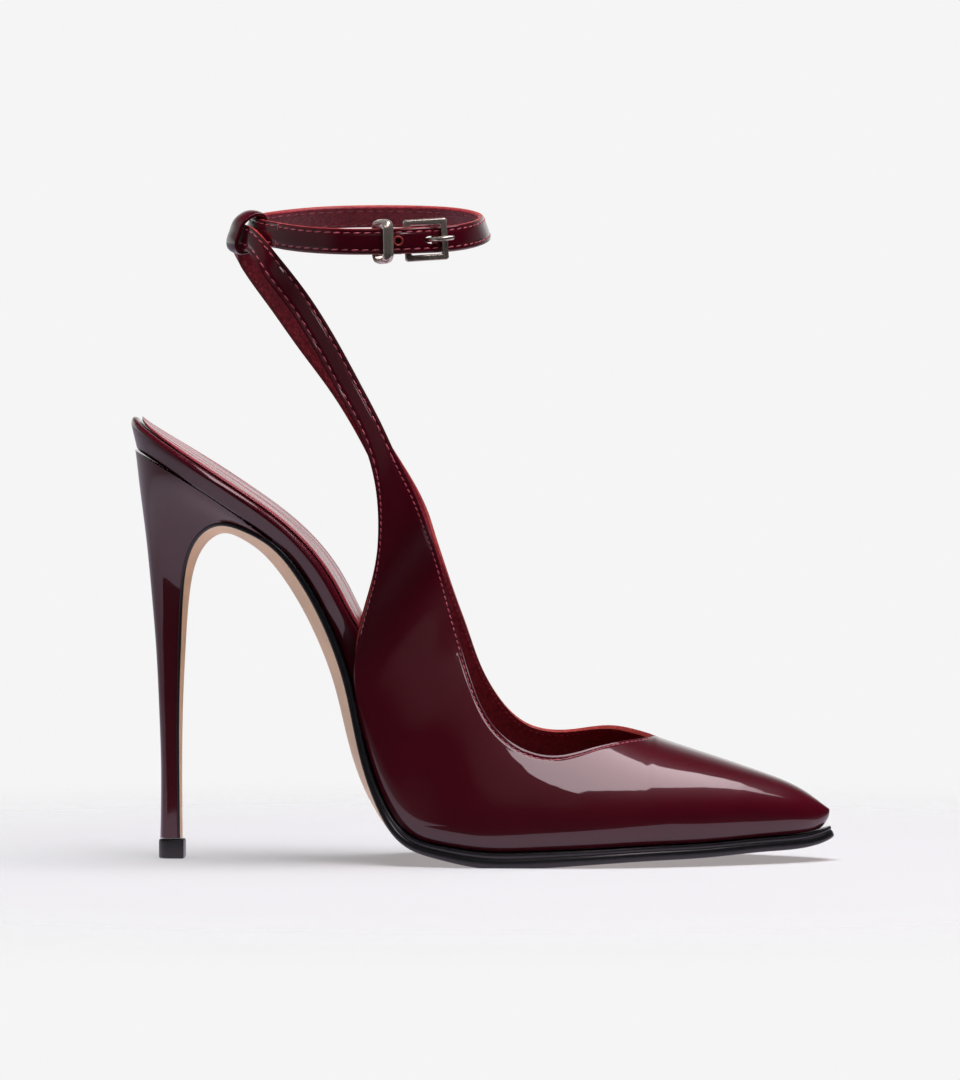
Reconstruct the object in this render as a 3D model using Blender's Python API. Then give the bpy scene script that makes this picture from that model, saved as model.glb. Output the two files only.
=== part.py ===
"""Right-foot stiletto in patent leather: a pointed vamp, two side wings that taper into straps, a cut-away
back and a buckled ankle strap. +X is the toe, +Y the inner side of the foot, +Z up; it stands on z = 0."""

import math
from collections import namedtuple

import bmesh
import bpy
import numpy as np

MM = 0.001

# Driving dimensions, in millimetres
SEAM = 0.3  # clearance between pieces that meet
SEAT_SEAM = 0.1  # how far the heel stays under the seat line, which the footbed clears by one seam
WALL = 1.6  # lined patent leather of the upper
WELT = 0.9  # how far the sole edge stands out past the upper
UPRIGHT = 7.0  # height over the sole up to which the upper widens
UPRIGHT_MOST = 0.35  # share of a rib that this may take
TUCK = 1.4  # how far the upper draws in at its base
TUCK_MOST = 0.3  # share of a rib's half width that the tuck may take
UPPER_LIFT = 0.5  # clearance of the upper to the sole
REAR_LIFT = 0.5  # the extra clearance where the upper leaves the sole
BED_INSET = 4.6  # from the sole edge to the footbed inside the upper
SEAT_INSET = 0.4  # from the sole edge to the footbed behind the upper
WING_HIDES = 6.0  # length of footbed behind the upper's rear corner that still lies inside the wings
SOCK_MARGIN = 1.7  # rim of footbed that shows round the insole
SEAT_BULGE = 1.2  # rise of the heel seat above a straight line
BED_START, BED_END = 6.0, 1.2  # what the footbed leaves free at the toe tip and at the back
SOCK_START, SOCK_END = 14.0, 4.0  # the same for the sock
STEEPEST_SLANT = 0.35  # least cosine of an edge's angle to its section that an inset is stretched for
BAND_WIDTH = 7.5  # ankle strap
BAND_THICK = 1.8
TOP_PIECE_HEIGHT = 5.6
TOP_PIECE_GROW = 0.35
BUCKLE_LENGTH = 12.6
BUCKLE_HEIGHT = 12.0
BUCKLE_BAR = 1.75
BUCKLE_CORNER = 0.6  # inner corner radius of the buckle frame
KEEPER_WIDTH = 3.2
LOOP_WIDTH = 6.5
RING_CORNER = 1.6  # inner corner radius of the keeper and the loop

# Numbers of sections and points, which set how finely the solids are faceted
BEFORE_SEAT_SECTIONS = 36
HEEL_SECTIONS = 19
SEAT_SECTIONS = 13
RIB_COUNT = 54
RIB_POINTS = 9
BAND_SECTIONS = 90

# Each station is a cross-section of the last. x, z: top of the sole on the feather line.
# outer, inner: half widths of the sole from y = 0. edge, crown: thickness of the sole at its edge, and the
# extra at its middle. crest_x, crest_z: where the rib over this station would close. trim_outer, trim_inner:
# how far up that rib the upper reaches. bed: thickness of the footbed. mid: y of the crest.
Station = namedtuple("Station", "x z outer inner edge crown crest_x crest_z trim_outer trim_inner bed mid")
FOREPART = (
    Station(101.3, 10.0, -2.0, 2.0, 3.4, 0.0, 101.1, 14.9, 1.0, 1.0, 3.0, 2.0),
    Station(99.2, 9.2, 3.0, 7.0, 3.6, 0.0, 98.4, 17.0, 1.0, 1.0, 3.0, 2.0),
    Station(94.0, 8.1, 9.2, 12.6, 3.8, 0.0, 92.6, 21.0, 1.0, 1.0, 3.0, 2.0),
    Station(82.0, 7.5, 17.6, 20.2, 3.9, 0.0, 80.6, 26.0, 1.0, 1.0, 3.0, 1.9),
    Station(66.0, 6.5, 26.4, 28.0, 4.0, 0.0, 64.8, 31.3, 1.0, 1.0, 3.0, 1.7),
    Station(50.0, 6.0, 32.8, 33.4, 4.1, 0.0, 50.2, 36.2, 1.0, 1.0, 3.0, 1.3),
    Station(34.0, 5.2, 36.2, 36.4, 4.2, 0.0, 37.5, 42.0, 0.81, 0.90, 3.0, 0.8),
    Station(18.0, 4.5, 37.2, 37.2, 4.6, 0.0, 26.5, 49.5, 0.61, 0.71, 3.0, 0.4),
    Station(3.0, 4.3, 37.2, 35.6, 4.6, 0.0, 17.5, 59.5, 0.555, 0.61, 3.0, 0.1),
    Station(-10.5, 6.0, 35.2, 31.4, 3.8, 0.0, 11.0, 70.0, 0.587, 0.63, 3.2, 0.0),
    Station(-20.0, 9.0, 32.6, 26.6, 3.2, 0.8, 7.2, 79.0, 0.641, 0.666, 3.6, 0.0),
    Station(-27.0, 17.5, 29.8, 22.4, 2.4, 2.4, 4.8, 87.0, 0.671, 0.688, 4.4, 0.0),
    Station(-32.6, 32.0, 27.4, 19.2, 2.0, 3.6, 3.2, 96.0, 0.667, 0.672, 5.6, 0.0),
    Station(-37.2, 52.0, 25.4, 17.8, 1.9, 4.2, 1.9, 105.0, 0.647, 0.637, 6.6, 0.0),
)
THROAT = 5  # the station where the topline leaves the crest
REAR_CORNER = 13  # the station where the upper leaves the sole

# Shank stations have the same first six columns, and bed.
Shank = namedtuple("Shank", "x z outer inner edge crown bed")
SHANK = (
    Shank(-43.0, 68.5, 24.4, 18.2, 1.9, 4.6, 7.0),
    Shank(-51.5, 84.0, 24.2, 20.0, 1.8, 4.8, 7.0),
)

# Heel sections run from the seat down to the tip, from the breast to the back. The sole lies on the breast.
Heel = namedtuple("Heel", "breast_x breast_z back_x back_z half edge crown")
HEEL = (
    Heel(-60.2, 93.3, -102.0, 120.0, 23.0, 1.5, 4.4),
    Heel(-68.4, 97.4, -101.5, 116.0, 21.0, 1.2, 3.2),
    Heel(-75.6, 98.9, -100.9, 110.5, 17.8, 1.1, 2.5),
    Heel(-82.0, 96.0, -100.0, 103.0, 13.6, 1.0, 2.2),
    Heel(-86.4, 89.0, -98.8, 93.0, 9.6, 1.0, 1.7),
    Heel(-88.5, 77.5, -97.3, 77.0, 6.4, 1.0, 1.2),
    Heel(-89.2, 63.0, -96.1, 62.0, 4.8, 0.9, 0.9),
    Heel(-89.7, 46.0, -95.3, 46.0, 3.9, 0.8, 0.7),
    Heel(-89.8, 26.0, -94.7, 26.0, 3.4, 0.8, 0.5),
    Heel(-89.6, 6.0, -95.0, 6.0, 3.3, 0.8, 0.4),
)
WEDGE_START = 7.5  # distance behind the first heel section where the heel's wedge is thick enough to start
HEEL_FLAT = 0.55  # share of a heel section, from the breast, that keeps its full width
HEEL_SHARES = (0.0, 0.2, 0.4, HEEL_FLAT, 0.7, 0.82, 0.91, 0.97, 1.0)  # where a heel section has its points

# Seat stations of the footbed: share of the seat line from its front, half widths, thickness, and how far
# the wall of the seat turns from square to the seat to upright.
Seat = namedtuple("Seat", "share outer inner bed upright")
SEAT = (
    Seat(0.0, 23.6, 21.6, 6.9, 0.0),
    Seat(0.33, 24.9, 23.9, 6.9, 0.1),
    Seat(0.62, 23.4, 23.3, 7.1, 0.35),
    Seat(0.86, 15.8, 16.2, 7.9, 0.85),
    Seat(1.0, 0.0, 0.0, 9.2, 1.1),
)

# Ribs of a wing and its strap, from the rear corner up: rear edge, half width there, crest and trim.
Rib = namedtuple("Rib", "x z half crest_x crest_z trim")
OUTER_WING = (
    Rib(-34.4, 67.5, 26.6, 1.0, 113.5, 0.582),
    Rib(-30.6, 81.5, 28.9, 0.0, 122.0, 0.477),
    Rib(-28.9, 96.0, 29.4, -1.5, 130.0, 0.364),
    Rib(-30.0, 111.0, 28.6, -3.2, 138.5, 0.245),
    Rib(-33.8, 123.3, 27.0, -5.8, 146.0, 0.20),
    Rib(-41.0, 136.8, 24.4, -11.2, 155.5, 0.20),
    Rib(-48.6, 150.3, 22.2, -18.8, 168.7, 0.20),
    Rib(-56.3, 162.0, 20.3, -27.6, 182.0, 0.20),
    Rib(-63.6, 171.6, 18.9, -40.0, 196.0, 0.20),
    Rib(-69.0, 178.1, 10.4, -61.9, 211.4, 0.20),
)
INNER_WING = (
    Rib(-35.0, 67.5, 20.4, 0.5, 113.5, 0.561),
    Rib(-31.2, 81.5, 24.0, -0.8, 122.0, 0.443),
    Rib(-30.0, 96.0, 26.0, -3.0, 130.0, 0.322),
    Rib(-32.6, 110.5, 26.4, -6.5, 138.5, 0.237),
    Rib(-38.2, 122.8, 25.4, -11.5, 146.0, 0.20),
    Rib(-46.5, 136.8, 22.5, -18.5, 157.5, 0.20),
    Rib(-55.8, 149.8, 18.5, -27.5, 170.5, 0.20),
    Rib(-64.0, 161.8, 14.0, -36.0, 182.8, 0.20),
    Rib(-70.6, 171.4, 10.0, -45.0, 195.2, 0.20),
    Rib(-73.8, 177.3, 7.5, -61.8, 209.1, 0.20),
)
BACK_RIB = Rib(-73.7, 179.1, 0.0, -63.2, 211.4, 0.20)

# Middle line of the ankle strap seen from above, round the ankle from the front by the outer side.
Bend = namedtuple("Bend", "x y")
ANKLE_RING = (
    Bend(0.2, 0.0),
    Bend(-1.4, -10.5),
    Bend(-5.8, -20.3),
    Bend(-13.5, -26.8),
    Bend(-24.0, -29.6),
    Bend(-37.0, -30.2),
    Bend(-49.0, -25.6),
    Bend(-58.1, -16.4),
    Bend(-64.8, -7.3),
    Bend(-68.6, 1.5),
    Bend(-65.5, 10.5),
    Bend(-59.0, 19.5),
    Bend(-49.0, 27.5),
    Bend(-36.0, 31.0),
    Bend(-22.0, 30.0),
    Bend(-10.0, 24.5),
    Bend(-2.3, 13.5),
)
RING_HEIGHT = 184.3  # of the ring's middle line at y = 0
RING_TILT = 0.14  # rise per millimetre towards the inner side
RING_LEAN = math.radians(36.0)  # how far the inner side leans in
HINGE_X = -20.9  # hinge bar of the buckle, on the outer side
TAIL_LENGTH = 41.0  # of the strap's free end past the hinge bar

# Lift of the strap's free end over its fixed end, by distance past the hinge bar.
Lift = namedtuple("Lift", "along out")
TAIL_LIFT = (
    Lift(-17.0, 0.0),
    Lift(-10.7, 0.25),
    Lift(-6.8, 1.5),
    Lift(0.0, 2.75),
    Lift(6.0, 2.25),
    Lift(41.0, 2.2),
)
HINGE_OUT = 0.55
TONGUE_BAR_OUT = 2.6

# Holes in the strap's free end: distance past the hinge bar, length and width.
Hole = namedtuple("Hole", "along length width")
BAND_HOLES = (Hole(2.4, 1.9, 1.9), Hole(-7.0, 5.0, 2.3))

# The prong's bends, as distance before the hinge bar and height over the strap's line.
PRONG = (
    Lift(1.9, 0.25),
    Lift(5.0, 0.3),
    Lift(6.4, 1.3),
    Lift(7.6, 3.0),
    Lift(9.0, 4.2),
    Lift(10.7, 4.6),
    Lift(12.2, 4.45),
)
PRONG_RADIUS = 0.7
KEEPER_ALONG = 6.6  # distance of the metal keeper past the hinge bar
KEEPER_TURN = math.radians(22.0)
KEEPER_OPENING = (6.6, 10.0)  # through the straps, and along their width
KEEPER_BAR = 1.1
LOOP_OPENING = (6.2, 12.2)
LOOP_WALL = 1.2
LOOP_OUT = 1.35  # from the ankle strap's middle line to the loop's, outwards and down
LOOP_DROP = 1.2
LOOP_LEAN = math.radians(17.0)  # the loop's long side from upright, towards the toe


def clear_scene():
    for item in list(bpy.data.objects):
        bpy.data.objects.remove(item)


def smooth(knots, rows, wanted):
    """The curve of continuous curvature through the rows at the knots, read at the wanted values."""
    knots, rows = np.asarray(knots, float), np.asarray(rows, float)
    gaps = np.diff(knots)
    count = len(knots)
    system = np.eye(count)
    right = np.zeros_like(rows)
    for k in range(1, count - 1):
        system[k, k - 1 : k + 2] = gaps[k - 1], 2 * (gaps[k - 1] + gaps[k]), gaps[k]
        right[k] = 6 * ((rows[k + 1] - rows[k]) / gaps[k] - (rows[k] - rows[k - 1]) / gaps[k - 1])
    bends = np.linalg.solve(system, right)
    wanted = np.asarray(wanted, float)
    low = np.clip(np.searchsorted(knots, wanted) - 1, 0, count - 2)
    after = ((wanted - knots[low]) / gaps[low])[:, None]
    before = 1 - after
    swing = (before**3 - before) * bends[low] + (after**3 - after) * bends[low + 1]
    return before * rows[low] + after * rows[low + 1] + swing * gaps[low][:, None] ** 2 / 6


def lengths_along(points):
    steps = np.linalg.norm(np.diff(points, axis=0), axis=1)
    return np.concatenate([[0.0], np.cumsum(steps)])


def unit(vectors):
    return vectors / np.linalg.norm(vectors, axis=-1, keepdims=True)


def blend(value, low, high):
    """0 below low, 1 above high, and a smooth step between."""
    share = np.clip((np.asarray(value, float) - low) / (high - low), 0, 1)
    return share * share * (3 - 2 * share)


def material(name, color, roughness, metallic=0.0):
    made = bpy.data.materials.new(name)
    made.use_nodes = True
    shader = made.node_tree.nodes["Principled BSDF"]
    shader.inputs["Base Color"].default_value = (*color, 1.0)
    shader.inputs["Roughness"].default_value = roughness
    shader.inputs["Metallic"].default_value = metallic
    return made


def add_object(name, points, faces, finish, flat_angle=35.0):
    mesh = bpy.data.meshes.new(name)
    mesh.from_pydata([tuple(p) for p in np.asarray(points) * MM], [], faces)
    mesh.materials.append(finish)
    mesh.shade_smooth()
    mesh.set_sharp_from_angle(angle=math.radians(flat_angle))
    made = bpy.data.objects.new(name, mesh)
    bpy.context.scene.collection.objects.link(made)
    return made


def face_outwards(made):
    work = bmesh.new()
    work.from_mesh(made.data)
    bmesh.ops.recalc_face_normals(work, faces=work.faces)
    work.to_mesh(made.data)
    work.free()


def swept(name, sections, finish, closed=False):
    """A solid through equal loops of points, capped at both ends unless it closes on itself."""
    sections = np.asarray(sections)
    count, around = sections.shape[:2]
    faces = []
    for i in range(count if closed else count - 1):
        here, there = i * around, (i + 1) % count * around
        for j in range(around):
            k = (j + 1) % around
            faces.append((here + j, here + k, there + k, there + j))
    if not closed:
        last = (count - 1) * around
        faces.append(tuple(range(around)))
        faces.append(tuple(range(last, last + around)))
    made = add_object(name, sections.reshape(-1, 3), faces, finish)
    face_outwards(made)
    return made


class Board:
    """The two edges of the sole or footbed, from the toe tip back, with a frame at each sample."""

    def __init__(self, rows, round_back):
        """rows: x, z, outer, inner and further columns."""
        self.rows = np.array(rows, float)
        x, z, outer, inner = self.rows[:, :4].T
        outside = np.stack([x, -outer, z], 1)
        inside = np.stack([x, inner, z], 1)
        self.knots = (lengths_along(outside) + lengths_along(inside)) / 2
        # Each edge runs on into the other one through the toe tip, and through the back where that is round.
        knots = np.concatenate([-self.knots[:0:-1], self.knots])
        line = np.concatenate([inside[:0:-1], outside])
        if round_back:
            beyond = 2 * self.knots[-1] - self.knots[-4:-1][::-1]
            knots = np.concatenate([-beyond[::-1], knots, beyond])
            line = np.concatenate([outside[-4:-1], line, inside[-4:-1][::-1]])
        self.line_knots, self.line = knots, line

    def edges(self, along):
        outside = smooth(self.line_knots, self.line, along)
        inside = smooth(self.line_knots, self.line, -np.asarray(along))
        middle = (outside + inside) / 2
        forward = unit(np.gradient(middle[:, [0, 2]], axis=0))
        up = np.stack([forward[:, 1], np.zeros(len(forward)), -forward[:, 0]], 1)
        inward = []
        for line, other in ((outside, inside), (inside, outside)):
            across = unit(np.cross(up, np.gradient(line, axis=0)))
            facing = np.sign(np.sum(across * (other - line), axis=1, keepdims=True))
            inward.append(across * facing)
        return outside, inside, up, inward

    def column(self, index, along):
        return smooth(self.knots, self.rows[:, index : index + 1], along)[:, 0]


def sole_board():
    rows = [(s.x, s.z, s.outer, s.inner, s.edge, s.crown) for s in FOREPART]
    rows += [(s.x, s.z, s.outer, s.inner, s.edge, s.crown) for s in SHANK]
    rows += [(h.breast_x, h.breast_z, h.half, h.half, h.edge, h.crown) for h in HEEL]
    return Board(rows, round_back=False)


def seat_point(share):
    """A point of the heel seat, in side view, from its front to its back."""
    front = np.array([HEEL[0].breast_x, HEEL[0].breast_z])
    back = np.array([HEEL[0].back_x, HEEL[0].back_z])
    run = back - front
    rise = np.array([run[1], -run[0]]) / np.linalg.norm(run)
    share = np.asarray(share, float)[..., None]
    return front + share * run + 4 * share * (1 - share) * SEAT_BULGE * rise


def bed_board():
    rows = [(s.x, s.z, s.outer, s.inner, s.bed, 0.0) for s in FOREPART]
    rows += [(s.x, s.z, s.outer, s.inner, s.bed, 0.0) for s in SHANK]
    for s in SEAT:
        x, z = seat_point(s.share)
        rows.append((x, z, s.outer, s.inner, s.bed, s.upright))
    return Board(rows, round_back=True)


# Profile of the sole edge: how far it stands out, and share of its height down from the top.
# The second and third rows are a bead, the fourth a groove.
Edge = namedtuple("Edge", "out down")
EDGE_PROFILE = (
    Edge(-0.1, 0.0),
    Edge(0.15, 0.1),
    Edge(0.15, 0.3),
    Edge(-0.5, 0.42),
    Edge(0.05, 0.54),
    Edge(0.05, 0.84),
    Edge(-0.5, 1.0),
)
GROOVE_FULL, GROOVE_NONE = 3.2, 2.2  # edge heights where the groove is full and where it has run out
BOTTOM_POINTS = 7


def outsole(board, along, finish):
    outside, inside, up, (out_in, in_in) = board.edges(along)
    edge, crown = board.column(4, along), board.column(5, along)
    groove = blend(edge, GROOVE_NONE, GROOVE_FULL)
    sections = []
    for k in range(len(along)):
        sides = []
        for line, inward in ((outside, out_in), (inside, in_in)):
            side = []
            for row in EDGE_PROFILE:
                side.append(line[k] - inward[k] * row.out * groove[k] - up[k] * edge[k] * row.down)
            sides.append(side)
        start, end = sides[0][-1], sides[1][-1]
        bottom = []
        for j in range(1, BOTTOM_POINTS + 1):
            share = j / (BOTTOM_POINTS + 1)
            bottom.append(start + (end - start) * share - up[k] * crown[k] * 4 * share * (1 - share))
        sections.append(sides[0] + bottom + sides[1][::-1])
    sections = np.array(sections)
    sections[:, :, 2] = np.maximum(sections[:, :, 2], 0.0)
    return swept("outsole", sections, finish)


def heel_sections(board, along):
    """Pairs of points from the breast to the back of each section, from the seat to the tip."""
    _, _, up, _ = board.edges(along)
    start = len(FOREPART) + len(SHANK)
    knots = board.knots[start:]
    rows = np.array(HEEL)
    values = smooth(knots, rows, along)
    fronts = values[:, :2] + up[:, [0, 2]] * SEAM
    backs = values[:, 2:4]
    shares = np.array(HEEL_SHARES)
    round_part = np.clip((shares - HEEL_FLAT) / (1 - HEEL_FLAT), 0, 1)
    widths = np.sqrt(1 - round_part**2)
    whole = seat_point(np.linspace(0, 1, 201))
    start_share = np.argmin(np.abs(whole[:, 0] - fronts[0, 0])) / 200
    rise = unit(np.array([HEEL[0].back_z - HEEL[0].breast_z, HEEL[0].breast_x - HEEL[0].back_x]))
    top = seat_point(start_share + shares * (1 - start_share)) - rise * SEAT_SEAM
    top[0] = fronts[0]
    bulge = top - (fronts[0] + shares[:, None] * (backs[0] - fronts[0]))
    sections = []
    for k in range(len(along)):
        near_seat = (1 - k / (len(along) - 1)) ** 6
        side_view = fronts[k] + shares[:, None] * (backs[k] - fronts[k]) + bulge * near_seat
        outer = np.stack([side_view[:, 0], -values[k, 4] * widths, side_view[:, 1]], 1)
        inner = outer * (1, -1, 1)
        sections.append(np.concatenate([outer, inner[-2::-1]]))
    return np.array(sections)


def heel(board, along, finish):
    sections = heel_sections(board, along)
    around = sections.shape[1]
    half = around // 2
    count = len(sections)
    faces = []
    for i in range(count - 1):
        for j in range(around):
            k = (j + 1) % around
            faces.append((i * around + j, i * around + k, (i + 1) * around + k, (i + 1) * around + j))
    for first in (0, (count - 1) * around):
        for j in range(half - 1):
            far = around - 1 - j
            faces.append((first + j, first + j + 1, first + far - 1, first + far))
        faces.append((first + half - 1, first + half, first + half + 1))
    made = add_object("heel", sections.reshape(-1, 3), faces, finish)
    face_outwards(made)
    return sections[-1]


def top_piece(tip_section, finish):
    """The wear pad: the outline of the heel tip, a little larger, down to the floor."""
    front_edge = HEEL[-1].breast_x + SEAM + HEEL[-1].edge + HEEL[-1].crown
    tip = tip_section.copy()
    back, front = tip[:, 0].min(), tip[:, 0].max()
    tip[:, 0] = back + (tip[:, 0] - back) * (front_edge - back) / (front - back)
    middle = tip.mean(axis=0)
    reach = np.abs(tip - middle).max(axis=0)
    wide = middle + (tip - middle) * (1 + TOP_PIECE_GROW / np.maximum(reach, 1.0))
    levels = ((0.94, 0.0), (1.0, 0.4), (1.0, TOP_PIECE_HEIGHT - 0.4), (0.94, TOP_PIECE_HEIGHT))
    sections = []
    for scale, height in levels:
        ring = middle + (wide - middle) * scale
        ring[:, 2] = height
        sections.append(ring)
    swept("top_piece", sections, finish)


def footbed_edges(board, along, extra_inset):
    """Both edges of the footbed's underside, its wall direction and thickness."""
    outside, inside, up, (out_in, in_in) = board.edges(along)
    exposed = blend(along, board.knots[REAR_CORNER] + WING_HIDES, board.knots[REAR_CORNER + 1] + WING_HIDES)
    inset = BED_INSET + (SEAT_INSET - BED_INSET) * exposed + extra_inset
    upright = np.clip(board.column(5, along), 0, 1)[:, None]
    wall = unit(up * (1 - upright) + np.array([0.0, 0.0, 1.0]) * upright)
    across = unit(inside - outside)
    edges = []
    for line, inward, direction in ((outside, out_in, across), (inside, in_in, -across)):
        # Measured along the section, so that the footbed lies flat on the sole.
        slant = np.maximum(np.sum(inward * direction, axis=1), STEEPEST_SLANT)
        edges.append(line + direction * (inset / slant)[:, None] + up * SEAM)
    return edges[0], edges[1], wall, board.column(4, along)


# Section of the footbed: inset of a point from its edge, and share of its height.
BED_PROFILE = ((0.6, 0.0), (0.0, 0.12), (0.0, 0.72), (0.5, 0.92), (1.6, 1.0))


def footbed(board, along, finish):
    outer, inner, wall, thick = footbed_edges(board, along, 0.0)
    sections = []
    for k in range(len(along)):
        width = np.linalg.norm(inner[k] - outer[k])
        across = (inner[k] - outer[k]) / width
        most = min(1.0, width / 4.5)
        left = [outer[k] + across * inset * most + wall[k] * thick[k] * up for inset, up in BED_PROFILE]
        right = [inner[k] - across * inset * most + wall[k] * thick[k] * up for inset, up in BED_PROFILE]
        sections.append(left[::-1] + right)
    return swept("footbed", sections, finish)


SOCK_POINTS = 7
SOCK_EDGE = 0.9
SOCK_DOME = 1.2


def insole(board, along, finish):
    outer, inner, wall, thick = footbed_edges(board, along, SOCK_MARGIN)
    dome = SOCK_DOME * blend(along, board.knots[10], board.knots[15])
    sections = []
    for k in range(len(along)):
        base = wall[k] * (thick[k] + SEAM)
        upper, lower = [], []
        for j in range(SOCK_POINTS):
            share = j / (SOCK_POINTS - 1)
            point = outer[k] + (inner[k] - outer[k]) * share + base
            lower.append(point)
            upper.append(point + wall[k] * (SOCK_EDGE + dome[k] * 4 * share * (1 - share)))
        sections.append(lower + upper[::-1])
    return swept("insole", sections, finish)


def upper_ribs(board):
    """Rows of the closed ring of ribs, from the toe tip by the outer side: base, crest and trim."""
    stations = board.knots[: REAR_CORNER + 1]
    outside, inside, up, (out_in, in_in) = board.edges(stations)
    lines = []
    for side, line, inward in ((-1, outside, out_in), (1, inside, in_in)):
        rows = []
        lift = UPPER_LIFT + REAR_LIFT * blend(stations, stations[REAR_CORNER - 3], stations[REAR_CORNER])
        base = line + inward * WELT + up * lift[:, None]
        for k, s in enumerate(FOREPART):
            trim = s.trim_outer if side < 0 else s.trim_inner
            rows.append((*base[k], s.crest_x, s.mid, s.crest_z, trim))
        for rib in OUTER_WING if side < 0 else INNER_WING:
            rows.append((rib.x, side * rib.half, rib.z, rib.crest_x, 0.0, rib.crest_z, rib.trim))
        lines.append(rows)
    back = BACK_RIB
    back_row = (back.x, back.half, back.z, back.crest_x, 0.0, back.crest_z, back.trim)
    tip = lines[0][0]
    tip = (tip[0] - WELT, FOREPART[0].mid, *tip[2:])
    ring = np.array([tip] + lines[0][1:] + [back_row] + lines[1][:0:-1])
    return ring, len(lines[0])


def upper_points(board, count, points):
    ring, back_at = upper_ribs(board)
    closed = np.concatenate([ring, ring[:1]])
    half_way = closed[:, :3] + (closed[:, 3:6] - closed[:, :3]) * 0.25
    knots = lengths_along(half_way)
    around = 4
    wrapped = np.concatenate([ring[-around:], closed, ring[1 : around + 1]])
    total = knots[-1]
    long_knots = np.concatenate([knots[-1 - around : -1] - total, knots, knots[1 : around + 1] + total])
    # The same number of ribs on each half, placed alike in front of the throat so that the crest closes.
    inner_throat = len(ring) - THROAT
    stops = (
        np.linspace(0, 1, count // 3 + 1)[:-1] ** 1.5 * knots[THROAT],
        np.linspace(knots[THROAT], knots[back_at], count - count // 3, endpoint=False),
        np.linspace(knots[back_at], knots[inner_throat], count - count // 3, endpoint=False),
        total - np.linspace(1, 0, count // 3 + 1)[:-1] ** 1.5 * (total - knots[inner_throat]),
    )
    wanted = np.concatenate(stops)
    values = smooth(long_knots, wrapped[:, :6], wanted)
    for i in range(1, count // 3 + 1):
        values[[i, -i], 3:] = (values[i, 3:] + values[-i, 3:]) / 2
    topline = slice(THROAT, inner_throat + 1)
    trims = np.ones(len(wanted))
    behind = (wanted > knots[THROAT]) & (wanted < knots[inner_throat])
    trims[behind] = smooth(knots[topline], ring[topline, 6:7], wanted[behind])[:, 0]
    from_back = np.abs(wanted - knots[back_at])
    leaves_sole, on_sole_from = knots[back_at] - knots[[REAR_CORNER + 1, REAR_CORNER - 3]]
    on_sole = blend(from_back, leaves_sole, on_sole_from)
    grid = []
    for value, trim, tucked in zip(values, np.clip(trims, 0.0, 1.0), on_sole):
        base, crest = value[:3], value[3:]
        half = base[1] - crest[1]
        height = np.array([crest[0] - base[0], 0.0, crest[2] - base[2]])
        turn = math.asin(trim) * np.linspace(0, 1, points) ** 1.15
        rise = np.sin(turn)
        upright = tucked * min(UPRIGHT / np.linalg.norm(height), UPRIGHT_MOST)
        lifted = np.clip((rise - upright) / (1 - upright), 0, 1)
        draw_in = tucked * min(TUCK, TUCK_MOST * abs(half))
        draw_in = draw_in * np.clip(1 - rise / max(upright, 1e-6), 0, 1) ** 2
        rib = np.array([base[0], crest[1], base[2]]) + rise[:, None] * height
        rib[:, 1] += half * np.sqrt(1 - lifted**2) - np.sign(half) * draw_in
        grid.append(rib)
    return np.array(grid)


def upper(board, finish):
    grid = upper_points(board, RIB_COUNT, RIB_POINTS)
    count, points = grid.shape[:2]
    faces = []
    for i in range(count):
        for j in range(points - 1):
            k = (i + 1) % count
            faces.append((i * points + j, k * points + j, k * points + j + 1, i * points + j + 1))
    made = add_object("upper", grid.reshape(-1, 3), faces, finish, 60.0)
    work = bmesh.new()
    work.from_mesh(made.data)
    bmesh.ops.remove_doubles(work, verts=work.verts, dist=1e-6)
    lowest = min(work.faces, key=lambda face: face.calc_center_median().y)
    bmesh.ops.recalc_face_normals(work, faces=work.faces)
    if lowest.normal.y > 0:
        bmesh.ops.reverse_faces(work, faces=work.faces)
    work.to_mesh(made.data)
    work.free()
    wall = made.modifiers.new("wall", "SOLIDIFY")
    wall.thickness = WALL * MM
    wall.offset = -1.0
    wall.use_even_offset = False
    return made


class AnkleRing:
    """The ankle strap's middle line and its directions, by distance from the hinge bar."""

    def __init__(self):
        bends = np.array(ANKLE_RING)
        around = len(bends)
        rows = np.concatenate([bends, bends, bends, bends[:1]])
        knots = lengths_along(rows)
        lap = knots[around]
        fine = np.linspace(lap, 2 * lap, 1441)
        line = smooth(knots, rows, fine)
        outer = np.where(line[:, 1] < 0, np.abs(line[:, 0] - HINGE_X), np.inf)
        self.knots, self.rows, self.lap = knots, rows, lap
        self.hinge = fine[np.argmin(outer)]

    def frame(self, along):
        """Middle, along, across and out at distances from the hinge bar towards the back."""
        wanted = np.mod(self.hinge + np.asarray(along, float) - self.lap, self.lap) + self.lap
        step = 0.2
        flat = smooth(self.knots, self.rows, wanted)
        ahead = smooth(self.knots, self.rows, wanted + step)
        behind = smooth(self.knots, self.rows, wanted - step)
        middle = np.column_stack([flat, RING_HEIGHT + RING_TILT * flat[:, 1]])
        run = unit(np.column_stack([ahead - behind, RING_TILT * (ahead - behind)[:, 1]]))
        level = np.column_stack([run[:, :2], np.zeros(len(run))])
        out = np.cross(unit(level), (0.0, 0.0, -1.0))
        inner_side = np.sin(np.arctan2(flat[:, 1], flat[:, 0] - bends_middle()))
        lean = (RING_LEAN * (0.5 + 0.5 * inner_side))[:, None]
        out = out * np.cos(lean) + np.array([0.0, 0.0, 1.0]) * np.sin(lean)
        out = unit(out - run * np.sum(out * run, axis=1, keepdims=True))
        across = np.cross(run, out)
        return middle, run, across * np.sign(across[:, 2:3]), out


def bends_middle():
    xs = [bend.x for bend in ANKLE_RING]
    return (max(xs) + min(xs)) / 2


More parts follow.
